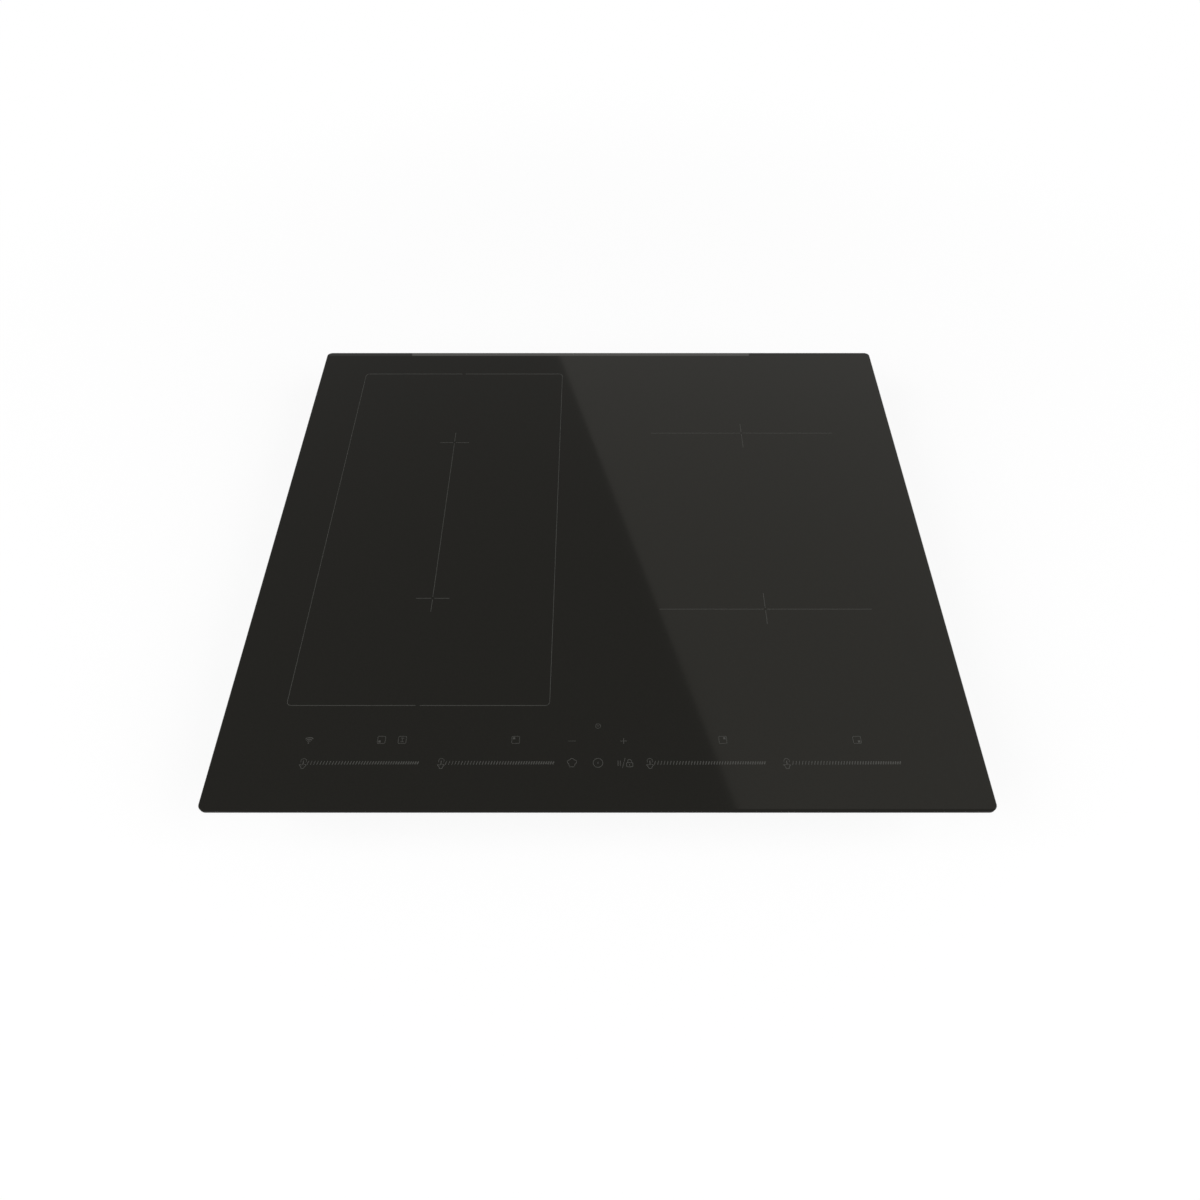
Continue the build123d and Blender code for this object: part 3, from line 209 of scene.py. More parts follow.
# Floor: side and drop below the hob (m), diffuse colour, whiteness at the hob and radii of its fade (m)
FLOOR_SIZE = 40.0
FLOOR_DROP = 0.2 * MM
FLOOR_ALBEDO = 0.95
FLOOR_WHITE = 0.85
FLOOR_FADE = (0.45, 1.1)

# Overhead panel: lift over the glass, added length at the back and front, width (m) and brightness
PANEL_LIFT = 1.184
PANEL_BACK = 0.5
PANEL_FRONT = 1.2
PANEL_WIDE = 1.6
PANEL_LEVEL = 0.55
# The panel's mirrored edge on the glass: two points (mm)
PANEL_EDGE = ((-41.67, 252.35), (103.2, -260.8))

# Small card close behind the glass: gap, sides and heights (mm) and brightness
CARD_GAP = 2.0
CARD_X = (-204.0, 165.0)
CARD_Z = (-0.5, 3.6)
CARD_LEVEL = 0.92

# Room: brightness of its ceiling, walls and ground, and the angles over the horizon (degrees) of each change
CEILING_LEVEL = 0.31
CEILING_FROM = 36.0
ROOM_LEVEL = 0.45
ROOM_FROM = 8.0
GROUND_LEVEL = 0.12
GROUND_FROM = -48.0
GROUND_TO = -62.0

# Lamps: places and size (m), power (W)
LAMP_OUT = 2.2
LAMP_FRONT = -0.9
LAMP_HIGH = 1.5
LAMP_SIZE = 2.2
LAMP_POWER = 60.0


class Finish:
    """One Principled material with a small procedural node tree in object coordinates."""

    def __init__(self, name, color, roughness, metallic=0.0, **sockets):
        self.material = bpy.data.materials.new(name)
        self.material.use_nodes = True
        tree = self.material.node_tree
        self.nodes = tree.nodes
        self.links = tree.links
        self.shader = self.nodes["Principled BSDF"]
        self.color = tuple(color[:3])
        self.roughness = roughness
        self.set("Base Color", (*self.color, 1.0))
        self.set("Roughness", roughness)
        self.set("Metallic", metallic)
        for socket, value in sockets.items():
            self.set(socket.replace("_", " "), value)
        self.coords = self.nodes.new("ShaderNodeTexCoord").outputs["Object"]
        self.height = None

    def set(self, socket, value):
        self.shader.inputs[socket].default_value = value

    def node(self, kind, inputs=None, **settings):
        made = self.nodes.new(kind)
        for key, value in settings.items():
            setattr(made, key, value)
        for key, value in (inputs or {}).items():
            if isinstance(value, bpy.types.NodeSocket):
                self.links.new(value, made.inputs[key])
            else:
                made.inputs[key].default_value = value
        return made

    def math(self, operation, first, second=0.0):
        return self.node("ShaderNodeMath", {0: first, 1: second}, operation=operation).outputs[0]

    def stretched(self, stretch):
        """Object coordinates scaled per axis, for drawn or brushed textures."""
        mapping = self.node("ShaderNodeMapping", {"Vector": self.coords, "Scale": stretch})
        return mapping.outputs["Vector"]

    def noise(self, scale, detail=3.0, vector=None, distortion=0.0):
        inputs = {
            "Vector": vector or self.coords,
            "Scale": scale,
            "Detail": detail,
            "Distortion": distortion,
        }
        return self.node("ShaderNodeTexNoise", inputs).outputs["Fac"]

    def cells(self, scale, output="Distance", vector=None):
        inputs = {"Vector": vector or self.coords, "Scale": scale}
        return self.node("ShaderNodeTexVoronoi", inputs).outputs[output]

    def weighed(self, first, second, share):
        """Sum of two values, the first by its share and the second by the rest."""
        part = self.math("MULTIPLY", first, share)
        rest = self.math("MULTIPLY", second, 1 - share)
        return self.math("ADD", part, rest)

    def span(self, value, low, high, start=0.3, end=0.7):
        """Value remapped from start..end to low..high."""
        inputs = {"Value": value, "From Min": start, "From Max": end, "To Min": low, "To Max": high}
        return self.node("ShaderNodeMapRange", inputs).outputs["Result"]

    def blend(self, value, dark, light, start=0.3, end=0.7):
        """Colour between two colours, by a value."""
        ramp = self.node("ShaderNodeValToRGB", {"Fac": value})
        ramp.color_ramp.elements[0].position = start
        ramp.color_ramp.elements[0].color = (*dark, 1.0)
        ramp.color_ramp.elements[1].position = end
        ramp.color_ramp.elements[1].color = (*light, 1.0)
        return ramp.outputs["Color"]

    def over(self, below, above, share):
        """Colour laid over another by a share from 0 to 1."""
        mix = self.node("ShaderNodeMix", {"Factor": share}, data_type="RGBA")
        for index, value in ((6, below), (7, above)):
            if isinstance(value, bpy.types.NodeSocket):
                self.links.new(value, mix.inputs[index])
            else:
                mix.inputs[index].default_value = (*value, 1.0)
        return mix.outputs[2]

    def paint(self, socket):
        self.links.new(socket, self.shader.inputs["Base Color"])
        return self

    def mottle(self, value, amount, start=0.3, end=0.7):
        """Lighter and darker shades of the base colour."""
        dark = [c * (1 - amount) for c in self.color]
        light = [min(1.0, c * (1 + amount)) for c in self.color]
        return self.paint(self.blend(value, dark, light, start, end))

    def gloss(self, value, spread, start=0.3, end=0.7):
        """Roughness that varies about its own value."""
        span = self.span(value, self.roughness - spread, self.roughness + spread, start, end)
        self.links.new(span, self.shader.inputs["Roughness"])
        return self

    def bump(self, value, distance, strength=1.0):
        inputs = {"Height": value, "Distance": distance, "Strength": strength}
        if self.height:
            inputs["Normal"] = self.height
        self.height = self.node("ShaderNodeBump", inputs).outputs["Normal"]
        self.links.new(self.height, self.shader.inputs["Normal"])
        return self


BASE = {entry["slot"]: entry["base_color"] for entry in record["materials"]}


def glass_ceramic():
    """Polished black glass ceramic: almost no colour of its own, faint wiping marks in the gloss."""
    made = Finish("glass_ceramic", BASE["glass_ceramic"], 0.055, IOR=1.5, Specular_Tint=GLASS_SHEEN)
    haze = made.noise(9.0, 4.0, made.stretched((1.0, 0.35, 1.0)), 0.8)
    made.mottle(made.noise(2200.0, 2.0), 0.35)
    return made.gloss(haze, 0.012)


def zinc_steel(name, base, spangle):
    """Zinc-coated sheet: crystals with their own shade and gloss, and faint rolling lines."""
    made = Finish(name, base, 0.42, 1.0)
    warp = made.noise(60.0, 2.0)
    crystal = made.cells(spangle, "Color")
    shade = made.node("ShaderNodeSeparateColor", {"Color": crystal}).outputs["Red"]
    rolled = made.noise(14.0, 3.0, made.stretched((4.0, 60.0, 60.0)))
    made.mottle(made.weighed(shade, warp, 0.55), 0.10, 0.2, 0.8)
    made.gloss(made.weighed(shade, rolled, 0.6), 0.025)
    return made.bump(rolled, 0.03 * MM, 0.5)


def plated_steel(name, base, roughness):
    """Plated turned or bent steel with fine drawing lines and a slight haze."""
    made = Finish(name, base, roughness, 1.0)
    haze = made.noise(160.0, 4.0)
    lines = made.noise(90.0, 2.0, made.stretched((1.0, 1.0, 12.0)))
    made.mottle(haze, 0.12)
    return made.gloss(haze, 0.08).bump(lines, 0.015 * MM, 0.5)


def drawn_metal(name, base, roughness, stretch):
    """Bare metal with grain along one direction."""
    made = Finish(name, base, roughness, 1.0)
    grain = made.noise(30.0, 4.0, made.stretched(stretch))
    cloud = made.noise(18.0, 3.0)
    made.mottle(cloud, 0.10)
    return made.gloss(grain, 0.10).bump(grain, 0.03 * MM, 0.5)


def moulding(name, base, roughness, grain, depth):
    """Moulded plastic: fine eroded grain, slight shade changes along the flow."""
    made = Finish(name, base, roughness, IOR=1.46)
    pores = made.noise(grain, 4.0)
    flow = made.noise(24.0, 3.0, None, 1.2)
    made.mottle(flow, 0.14)
    return made.gloss(pores, 0.08).bump(pores, depth, 0.6)


def sealing_foam():
    """Closed-cell foam: open cut pores over soft swells, with painted shade in the pores."""
    made = Finish("sealing_foam", BASE["sealing_foam"], 0.92, IOR=1.4)
    pores = made.cells(1500.0)
    swell = made.noise(220.0, 3.0)
    # Painted shade: darker towards the middle of each pore, where its bump is lowest
    made.mottle(pores, 0.45, 0.1, 0.6)
    return made.gloss(swell, 0.05).bump(pores, 0.18 * MM).bump(swell, 0.12 * MM)


def silicone():
    made = Finish("silicone", BASE["silicone"], 0.48, IOR=1.41)
    swell = made.noise(120.0, 2.0)
    made.mottle(swell, 0.2)
    return made.gloss(swell, 0.08).bump(swell, 0.1 * MM)


def mica():
    """Pressed mica board: overlapping flakes with a pearly sheen."""
    made = Finish("mica", BASE["mica"], 0.5, IOR=1.56)
    flakes = made.cells(380.0, "Color", vector=made.stretched((1.0, 0.6, 1.0)))
    shade = made.node("ShaderNodeSeparateColor", {"Color": flakes}).outputs["Green"]
    cloud = made.noise(45.0, 3.0)
    made.mottle(made.weighed(shade, cloud, 0.5), 0.12)
    return made.gloss(shade, 0.12, 0.1, 0.9).bump(shade, 0.02 * MM)


def ferrite():
    made = Finish("ferrite", BASE["ferrite"], 0.62, IOR=1.9)
    grain = made.noise(2600.0, 3.0)
    cloud = made.noise(90.0, 3.0)
    made.mottle(cloud, 0.3)
    return made.gloss(grain, 0.12).bump(grain, 0.03 * MM)


def litz_copper():
    """Litz wire: enamelled strands twisted round the bundle, along a flat spiral, with painted shade in the
    grooves between strands.
    """
    made = Finish("litz_copper", BASE["litz_copper"], 0.34, 0.85)
    middle = made.node("ShaderNodeTexCoord").outputs["Generated"]
    place = made.node("ShaderNodeSeparateXYZ", {"Vector": middle})
    east = made.math("SUBTRACT", place.outputs["X"], 0.5)
    north = made.math("SUBTRACT", place.outputs["Y"], 0.5)
    angle = made.math("ARCTAN2", north, east)
    radius = made.math("SQRT", made.math("ADD", made.math("POWER", east, 2), made.math("POWER", north, 2)))
    twist = made.math("ADD", made.math("MULTIPLY", angle, 160.0), made.math("MULTIPLY", radius, 900.0))
    strand = made.span(made.math("SINE", twist), 0.0, 1.0, -1.0, 1.0)
    # Painted shade: the strands darker in the grooves between them and lighter on their crests, by the same
    # pattern as their bump
    strand_shading = made.blend(strand, STRAND_GROOVE_SHADE, STRAND_CREST, 0.05, 0.85)
    made.paint(made.over(strand_shading, STRAND_DULL, made.span(made.noise(40.0), 0.0, 0.4)))
    return made.gloss(strand, 0.10, 0.0, 1.0).bump(strand, 0.06 * MM)


def lamination_steel():
    """Stack of stamped sheets, each with a fine gap to the next, painted darker towards the gap as shade."""
    made = Finish("lamination_steel", BASE["lamination_steel"], 0.45, 1.0)
    layers = made.node(
        "ShaderNodeTexWave",
        {"Vector": made.coords, "Scale": 320.0, "Distortion": 0.1},
        bands_direction="Z",
    ).outputs["Fac"]
    # Painted shade: each sheet darker towards the gap to the next, by the same bands as the bump
    made.mottle(layers, 0.4, 0.1, 0.9)
    return made.gloss(made.noise(200.0), 0.1).bump(layers, 0.06 * MM)


def choke_enamel():
    made = Finish("choke_enamel", BASE["choke_enamel"], 0.38, IOR=1.5, Coat_Weight=0.3)
    peel = made.noise(700.0, 2.0)
    made.mottle(made.noise(60.0), 0.25)
    return made.gloss(peel, 0.1).bump(peel, 0.05 * MM)


def circuit_board():
    """Solder resist over copper tracks: tracks show as paler raised bands."""
    made = Finish("circuit_board", BASE["circuit_board"], 0.34, IOR=1.5)
    tracks = made.node(
        "ShaderNodeTexBrick",
        {
            "Vector": made.coords,
            "Scale": 55.0,
            "Mortar Size": 0.022,
            "Brick Width": 0.7,
            "Row Height": 0.16,
        },
    ).outputs["Fac"]
    spots = made.node("ShaderNodeTexVoronoi", {"Vector": made.coords, "Scale": 210.0, "Randomness": 0.3})
    pads = made.span(spots.outputs["Distance"], 1.0, 0.0, 0.10, 0.15)
    resist = made.blend(tracks, RESIST_DARK, RESIST_LIGHT, 0.2, 0.8)
    made.paint(made.over(resist, SOLDER, made.math("MULTIPLY", pads, 0.8)))
    return made.gloss(made.noise(300.0), 0.08).bump(tracks, 0.05 * MM)


def light_guide():
    """Clear acrylic bar, frosted on its faces."""
    made = Finish("light_guide", BASE["light_guide"], 0.22, IOR=1.49, Transmission_Weight=0.6)
    frost = made.noise(900.0, 3.0)
    made.mottle(made.noise(80.0), 0.06)
    return made.gloss(frost, 0.1).bump(frost, 0.02 * MM)


def printed_enamel():
    """Grey ceramic print fired on the glass, a little uneven in cover."""
    made = Finish("printed_enamel", INK_COLOR, 0.33, IOR=1.5)
    cover = made.noise(1400.0, 3.0)
    made.mottle(cover, 0.18)
    return made.gloss(cover, 0.08).bump(cover, 0.004 * MM)


FINISHES = {
    "glass_ceramic": glass_ceramic(),
    "sealing_foam": sealing_foam(),
    "silicone": silicone(),
    "zinc_steel": zinc_steel("zinc_steel", BASE["zinc_steel"], 95.0),
    "bracket_steel": zinc_steel("bracket_steel", BASE["bracket_steel"], 240.0),
    "screw_steel": plated_steel("screw_steel", BASE["screw_steel"], 0.3),
    "spring_steel": plated_steel("spring_steel", BASE["spring_steel"], 0.24),
    "lamination_steel": lamination_steel(),
    "deck_aluminium": drawn_metal("deck_aluminium", BASE["deck_aluminium"], 0.38, (2.0, 40.0, 40.0)),
    "sink_aluminium": drawn_metal("sink_aluminium", BASE["sink_aluminium"], 0.42, (50.0, 1.5, 50.0)),
    "mica": mica(),
    "ferrite": ferrite(),
    "litz_copper": litz_copper(),
    "bronze": plated_steel("bronze", BASE["bronze"], 0.34),
    "former_moulding": moulding("former_moulding", BASE["former_moulding"], 0.55, 900.0, 0.03 * MM),
    "black_moulding": moulding("black_moulding", BASE["black_moulding"], 0.5, 1300.0, 0.04 * MM),
    "fan_moulding": moulding("fan_moulding", BASE["fan_moulding"], 0.42, 1100.0, 0.02 * MM),
    "pale_nylon": moulding("pale_nylon", BASE["pale_nylon"], 0.45, 700.0, 0.02 * MM),
    "grey_plastic": moulding("grey_plastic", BASE["grey_plastic"], 0.4, 800.0, 0.02 * MM),
    "choke_enamel": choke_enamel(),
    "black_epoxy": moulding("black_epoxy", BASE["black_epoxy"], 0.55, 1800.0, 0.03 * MM),
    "circuit_board": circuit_board(),
    "light_guide": light_guide(),
}
INK = printed_enamel()

for entry in record["subparts"]:
    data = nodes[entry["node"]].data
    data.materials.clear()
    data.materials.append(FINISHES[entry["material_slot"]].material)


def add_object(name, data):
    """New object in the scene."""
    made = bpy.data.objects.new(name, data)
    bpy.context.scene.collection.objects.link(made)
    return made


def arc(centre, radius, start, end, steps=24):
    """Points on an arc, in degrees from the X axis."""
    angles = [math.radians(start + (end - start) * step / steps) for step in range(steps + 1)]
    return [(centre[0] + radius * math.cos(a), centre[1] + radius * math.sin(a)) for a in angles]


def circle(centre, radius, steps=32):
    return arc(centre, radius, 0, 360, steps)[:-1]


def rounded(centre, width, depth, radius, steps=6):
    """Outline of a rectangle with rounded corners, counter-clockwise from its right side."""
    points = []
    for turn, (sx, sy) in enumerate(((1, 1), (-1, 1), (-1, -1), (1, -1))):
        corner = (centre[0] + sx * (width / 2 - radius), centre[1] + sy * (depth / 2 - radius))
        points += arc(corner, radius, 90 * turn, 90 * turn + 90, steps)
    return points


class Print:
    """Flat printed shapes in mm on the glass, kept as one thin closed solid per shape."""

    def __init__(self):
        self.mesh = bmesh.new()

    def vertex(self, point):
        low = glass_high.z - INK_UNDER
        return self.mesh.verts.new((point[0] * MM, point[1] * MM, low))

    def fill(self, points):
        self.mesh.faces.new([self.vertex(point) for point in points])

    def line(self, points, width, closed=False):
        """A stroke of one width along points, mitred at its corners."""
        count = len(points)
        pairs = []
        for index, point in enumerate(points):
            before = points[index - 1] if closed or index else points[index]
            after = points[(index + 1) % count] if closed or index < count - 1 else points[index]
            inward = Vector((point[0] - before[0], point[1] - before[1]))
            outward = Vector((after[0] - point[0], after[1] - point[1]))
            inward = inward.normalized() if inward.length else outward.normalized()
            outward = outward.normalized() if outward.length else inward
            along = (inward + outward).normalized()
            reach = width / 2 / max(0.3, along.dot(inward))
            side = Vector((-along.y, along.x)) * reach
            at = Vector(point)
            pairs.append((self.vertex(at + side), self.vertex(at - side)))
        for index in range(count if closed else count - 1):
            first, second = pairs[index], pairs[(index + 1) % count]
            self.mesh.faces.new((first[0], first[1], second[1], second[0]))

    def bar(self, centre, width, depth):
        x, y = centre
        self.fill(
            [
                (x - width / 2, y - depth / 2),
                (x + width / 2, y - depth / 2),
                (x + width / 2, y + depth / 2),
                (x - width / 2, y + depth / 2),
            ]
        )

    def piece(self, name):
        """The finished solid, riding on the hob."""
        raised = bmesh.ops.extrude_face_region(self.mesh, geom=self.mesh.faces[:], use_keep_orig=True)
        lifted = [item for item in raised["geom"] if isinstance(item, bmesh.types.BMVert)]
        bmesh.ops.translate(self.mesh, verts=lifted, vec=(0, 0, INK_OVER + INK_UNDER))
        bmesh.ops.recalc_face_normals(self.mesh, faces=self.mesh.faces)
        data = bpy.data.meshes.new(name)
        self.mesh.to_mesh(data)
        self.mesh.free()
        data.materials.append(INK.material)
        made = add_object(name, data)
        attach(made, "hob")


def flex_zone():
    """Outline of the long zone with a gap at the middle of its front and back, and its joined crosses."""
    sign = Print()
    centre = ((FLEX_X[0] + FLEX_X[1]) / 2, (FLEX_Y[0] + FLEX_Y[1]) / 2)
    outline = rounded(centre, FLEX_X[1] - FLEX_X[0], FLEX_Y[1] - FLEX_Y[0], FLEX_CORNER_R)
    quarter = len(outline) // 4
    right = outline[3 * quarter :] + outline[:quarter]
    left = outline[quarter : 3 * quarter]
    for side, points in ((1, right), (-1, reversed(left))):
        points = list(points)
        gap_x = LEFT_CROSS_X + side * FLEX_GAP / 2
        sign.line([(gap_x, FLEX_Y[0]), points[0]], FRONT_LINE)
        sign.line(points, ZONE_LINE)
        sign.line([points[-1], (gap_x, FLEX_Y[1])], BACK_LINE)
    back, front = LEFT_CROSS_YS
    for y in LEFT_CROSS_YS:
        for side in (-1, 1):
            sign.line([(LEFT_CROSS_X + side * x, y) for x in (CROSS_GAP, LEFT_ARM)], FRONT_LINE)
    for start, end in (
        (back + LEFT_TAIL, back + CROSS_GAP),
        (back - CROSS_GAP, front + CROSS_GAP),
        (front - CROSS_GAP, front - LEFT_TAIL),
    ):
        sign.line([(LEFT_CROSS_X, start), (LEFT_CROSS_X, end)], ZONE_LINE)
    sign.piece("print_flex_zone")


def round_zones():
    sign = Print()
    for x, y, west, east, back, front in RIGHT_CROSSES:
        sign.line([(west, y), (x - CROSS_GAP, y)], ZONE_LINE)
        sign.line([(x + CROSS_GAP, y), (east, y)], ZONE_LINE)
        sign.line([(x, back), (x, y + CROSS_GAP)], ZONE_LINE)
        sign.line([(x, y - CROSS_GAP), (x, front)], ZONE_LINE)
    sign.piece("print_round_zones")


def sliders():
    """Rows of slanted ticks that grow denser towards the full-power end."""
    sign = Print()
    for start, end in SLIDERS:
        x = start
        while x <= end:
            share = (x - start) / (end - start)
            height, width, pitch = (
                first + share * (last - first) for first, last in (TICK_HEIGHT, TICK_WIDTH, TICK_PITCH)
            )
            low = (x - TICK_SLANT / 2, LOWER_ROW - height / 2)
            high = (x + TICK_SLANT / 2, LOWER_ROW + height / 2)
            sign.line([low, high], width)
            x += pitch
    sign.piece("print_sliders")


def radio_sign(sign):
    sign.fill(circle(RADIO_AT, RADIO_DOT_R, 12))
    for radius in RADIO_ARCS:
        sign.line(arc(RADIO_AT, radius, *RADIO_FAN, 12), RADIO_LINE)


def zone_key(sign, x, side, end):
    """Square with one corner filled: the place of the zone it selects."""
    sign.line(rounded((x, KEY_ROW), KEY_SIZE, KEY_SIZE, KEY_CORNER_R), FINE_LINE, closed=True)
    sign.bar((x + side * KEY_FILL_OUT, KEY_ROW + end * KEY_FILL_OUT), KEY_FILL, KEY_FILL)


def bridge_key(sign):
    """Square with a link between two bars."""
    sign.line(rounded((BRIDGE_KEY, KEY_ROW), KEY_SIZE, KEY_SIZE, KEY_CORNER_R), FINE_LINE, closed=True)
    sign.bar((BRIDGE_KEY, KEY_ROW), FINE_LINE, BRIDGE_BAR)
    for end in (-1, 1):
        sign.bar((BRIDGE_KEY, KEY_ROW + end * BRIDGE_OUT), BRIDGE_BAR, FINE_LINE)


def timer_sign(sign):
    sign.line(circle(TIMER_AT, TIMER_R), FINE_LINE, closed=True)
    x, y = TIMER_AT
    sign.line([(x + dx, y + dy) for dx, dy in TIMER_HANDS], FINE_LINE)


def plus_minus(sign):
    sign.bar((MINUS_AT, SIGN_ROW), MINUS_LONG, FINE_LINE)
    thin = ICON_LINE / 2
    half = [
        (PLUS_REACH, -thin),
        (PLUS_REACH, thin),
        (thin, thin),
        (thin, PLUS_REACH),
        (-thin, PLUS_REACH),
        (-thin, thin),
    ]
    corners = half + [(-x, -y) for x, y in half]
    sign.fill([(PLUS_AT + x, SIGN_ROW + y) for x, y in corners])


def hand_key(sign, x):
    """Finger on the slider: a ring about the fingertip over the outline of a hand."""
    tip = (x, LOWER_ROW + HAND_TIP)
    sign.line(arc(tip, HAND_RING_R, *HAND_RING, 18), FINE_LINE)
    sign.bar((x, LOWER_ROW), *HAND_FINGER)
    sign.line([(x + dx, LOWER_ROW + dy) for dx, dy in HAND_PALM], ICON_LINE)


def hat_sign(sign):
    """Cook's hat: three lobes over a band."""
    x, y = HAT_AT, LOWER_ROW
    out, up = HAT_SIDE_LOBE
    lobes = [
        *arc((x - out, y + up), HAT_SIDE_R, 250, 90, 12),
        *arc((x, y + HAT_TOP_LOBE), HAT_TOP_R, 160, 20, 12),
        *arc((x + out, y + up), HAT_SIDE_R, 90, -70, 12),
    ]
    half, drop = HAT_FOOT
    sign.line([(x - half, y - drop), *lobes, (x + half, y - drop)], ICON_LINE)
    sign.bar((x, y - HAT_BAND_DROP), HAT_BAND, ICON_LINE)


def power_sign(sign):
    at = (POWER_AT, LOWER_ROW)
    sign.line(circle(at, POWER_R, 40), ICON_LINE, closed=True)
    sign.bar(at, *POWER_BAR)


def pause_and_lock(sign):
    width, height = PAUSE_BAR
    for side in (-1, 1):
        sign.bar((PAUSE_AT + side * PAUSE_GAP / 2, LOWER_ROW - PAUSE_DROP), width, height)
    run, rise = SLASH
    low = (SLASH_AT - run / 2, LOWER_ROW - rise / 2)
    high = (SLASH_AT + run / 2, LOWER_ROW + rise / 2)
    sign.line([low, high], ICON_LINE)
    body = (PADLOCK_AT, LOWER_ROW - PADLOCK_DROP)
    sign.line(rounded(body, *PADLOCK, PADLOCK_CORNER_R), ICON_LINE, closed=True)
    sign.bar(body, *KEYHOLE)
    foot = LOWER_ROW + SHACKLE_FOOT
    bow = arc((PADLOCK_AT, LOWER_ROW + SHACKLE_BOW), SHACKLE_R, 180, 0, 12)
    sign.line([(PADLOCK_AT - SHACKLE_R, foot), *bow, (PADLOCK_AT + SHACKLE_R, foot)], ICON_LINE)


def keys():
    sign = Print()
    radio_sign(sign)
    for x, side, end in ZONE_KEYS:
        zone_key(sign, x, side, end)
    bridge_key(sign)
    timer_sign(sign)
    plus_minus(sign)
    for x in HAND_KEYS:
        hand_key(sign, x)
    hat_sign(sign)
    power_sign(sign)
    pause_and_lock(sign)
    sign.piece("print_keys")


flex_zone()
round_zones()
sliders()
keys()


def spring_points(low, high, steps=40):
    """Middle line of a spring with closed ends between two heights, about the Z axis (mm)."""
    turns = SPRING_TURNS + 2 * SPRING_END_TURN
    count = int(turns * steps)
    points = []
    for step in range(count + 1):
        turn = turns * step / count
        share = min(1.0, max(0.0, (turn - SPRING_END_TURN) / SPRING_TURNS))
        angle = 2 * math.pi * turn
        points.append((SPRING_R * math.cos(angle), SPRING_R * math.sin(angle), low + share * (high - low)))
    return [Vector(point) for point in points]


def tube(mesh, points, radius, offset, sides=10):
    """Closed round tube along points."""
    rings = []
    for index, point in enumerate(points):
        along = points[min(index + 1, len(points) - 1)] - points[max(index - 1, 0)]
        out = Vector((point.x, point.y, 0)).normalized()
        up = along.cross(out).normalized()
        ring = []
        for side in range(sides):
            angle = 2 * math.pi * side / sides
            at = point + radius * (math.cos(angle) * out + math.sin(angle) * up) + offset
            ring.append(mesh.verts.new(at * MM))
        rings.append(ring)
    for first, second in zip(rings, rings[1:]):
        for side in range(sides):
            after = (side + 1) % sides
            mesh.faces.new((first[side], first[after], second[after], second[side]))
    mesh.faces.new(list(reversed(rings[0])))
    mesh.faces.new(rings[-1])


def coil_centre(zone):
    """Middle of a coil (mm), taken from its ring of ferrite bars."""
    low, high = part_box(f"ferrite_bars_{zone}")
    return (low + high) / (2 * MM)


def springs(zone):
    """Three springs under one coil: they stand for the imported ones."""
    centre = coil_centre(zone)
    low, high = (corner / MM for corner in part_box(f"coil_springs_{zone}"))
    outer = SPRING_R + SPRING_WIRE / 2
    inward = 1 if centre.x < 0 else -1
    reach = (high.x - outer - centre.x) if inward > 0 else (centre.x - low.x - outer)
    line = spring_points(low.z + SPRING_WIRE / 2, high.z - SPRING_WIRE / 2)
    mesh = bmesh.new()
    for angle in LUG_ANGLES:
        turn = math.radians(angle + (0 if inward > 0 else 180))
        spot = Vector((centre.x + reach * math.cos(turn), centre.y + reach * math.sin(turn), 0))
        tube(mesh, line, SPRING_WIRE / 2, spot)
    bmesh.ops.recalc_face_normals(mesh, faces=mesh.faces)
    for face in mesh.faces:
        face.smooth = len(face.verts) == 4
    data = bpy.data.meshes.new(f"springs_{zone}")
    mesh.to_mesh(data)
    mesh.free()
    data.materials.append(FINISHES["spring_steel"].material)
    made = add_object(f"springs_{zone}", data)
    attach(made, "hob")
    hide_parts(f"coil_springs_{zone}")
    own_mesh(made)


def winding_path(turns):
    """Middle line of a flat spiral of half-turn arcs with straight tails, about the Z axis (mm)."""
    points = [(WINDING_INNER_R, -WIRE_D)]
    for turn in range(turns):
        radius = WINDING_INNER_R + turn * WIRE_PITCH
        steps = round(math.pi * radius / WINDING_STEP)
        points += arc((0, 0), radius, 0, 180, steps)[:-1]
        points += arc((WIRE_PITCH / 2, 0), radius + WIRE_PITCH / 2, 180, 360, steps)[:-1]
    end_r = WINDING_INNER_R + turns * WIRE_PITCH
    points += [(end_r, 0), (end_r, WIRE_D)]
    return [Vector((x, y, 0)) for x, y in points]


def bundle_ring(point, along, twist):
    """Section of the litz wire: bundles of strands with a groove between neighbours."""
    side = Vector((-along.y, along.x, 0))
    ring = []
    for corner in range(RING_SIDES):
        groove = BUNDLE_GROOVE if corner % 3 == 0 else 0
        angle = 2 * math.pi * corner / RING_SIDES - twist
        reach = WIRE_D / 2 - groove
        ring.append(point + reach * (math.cos(angle) * side + math.sin(angle) * Vector((0, 0, 1))))
    return ring


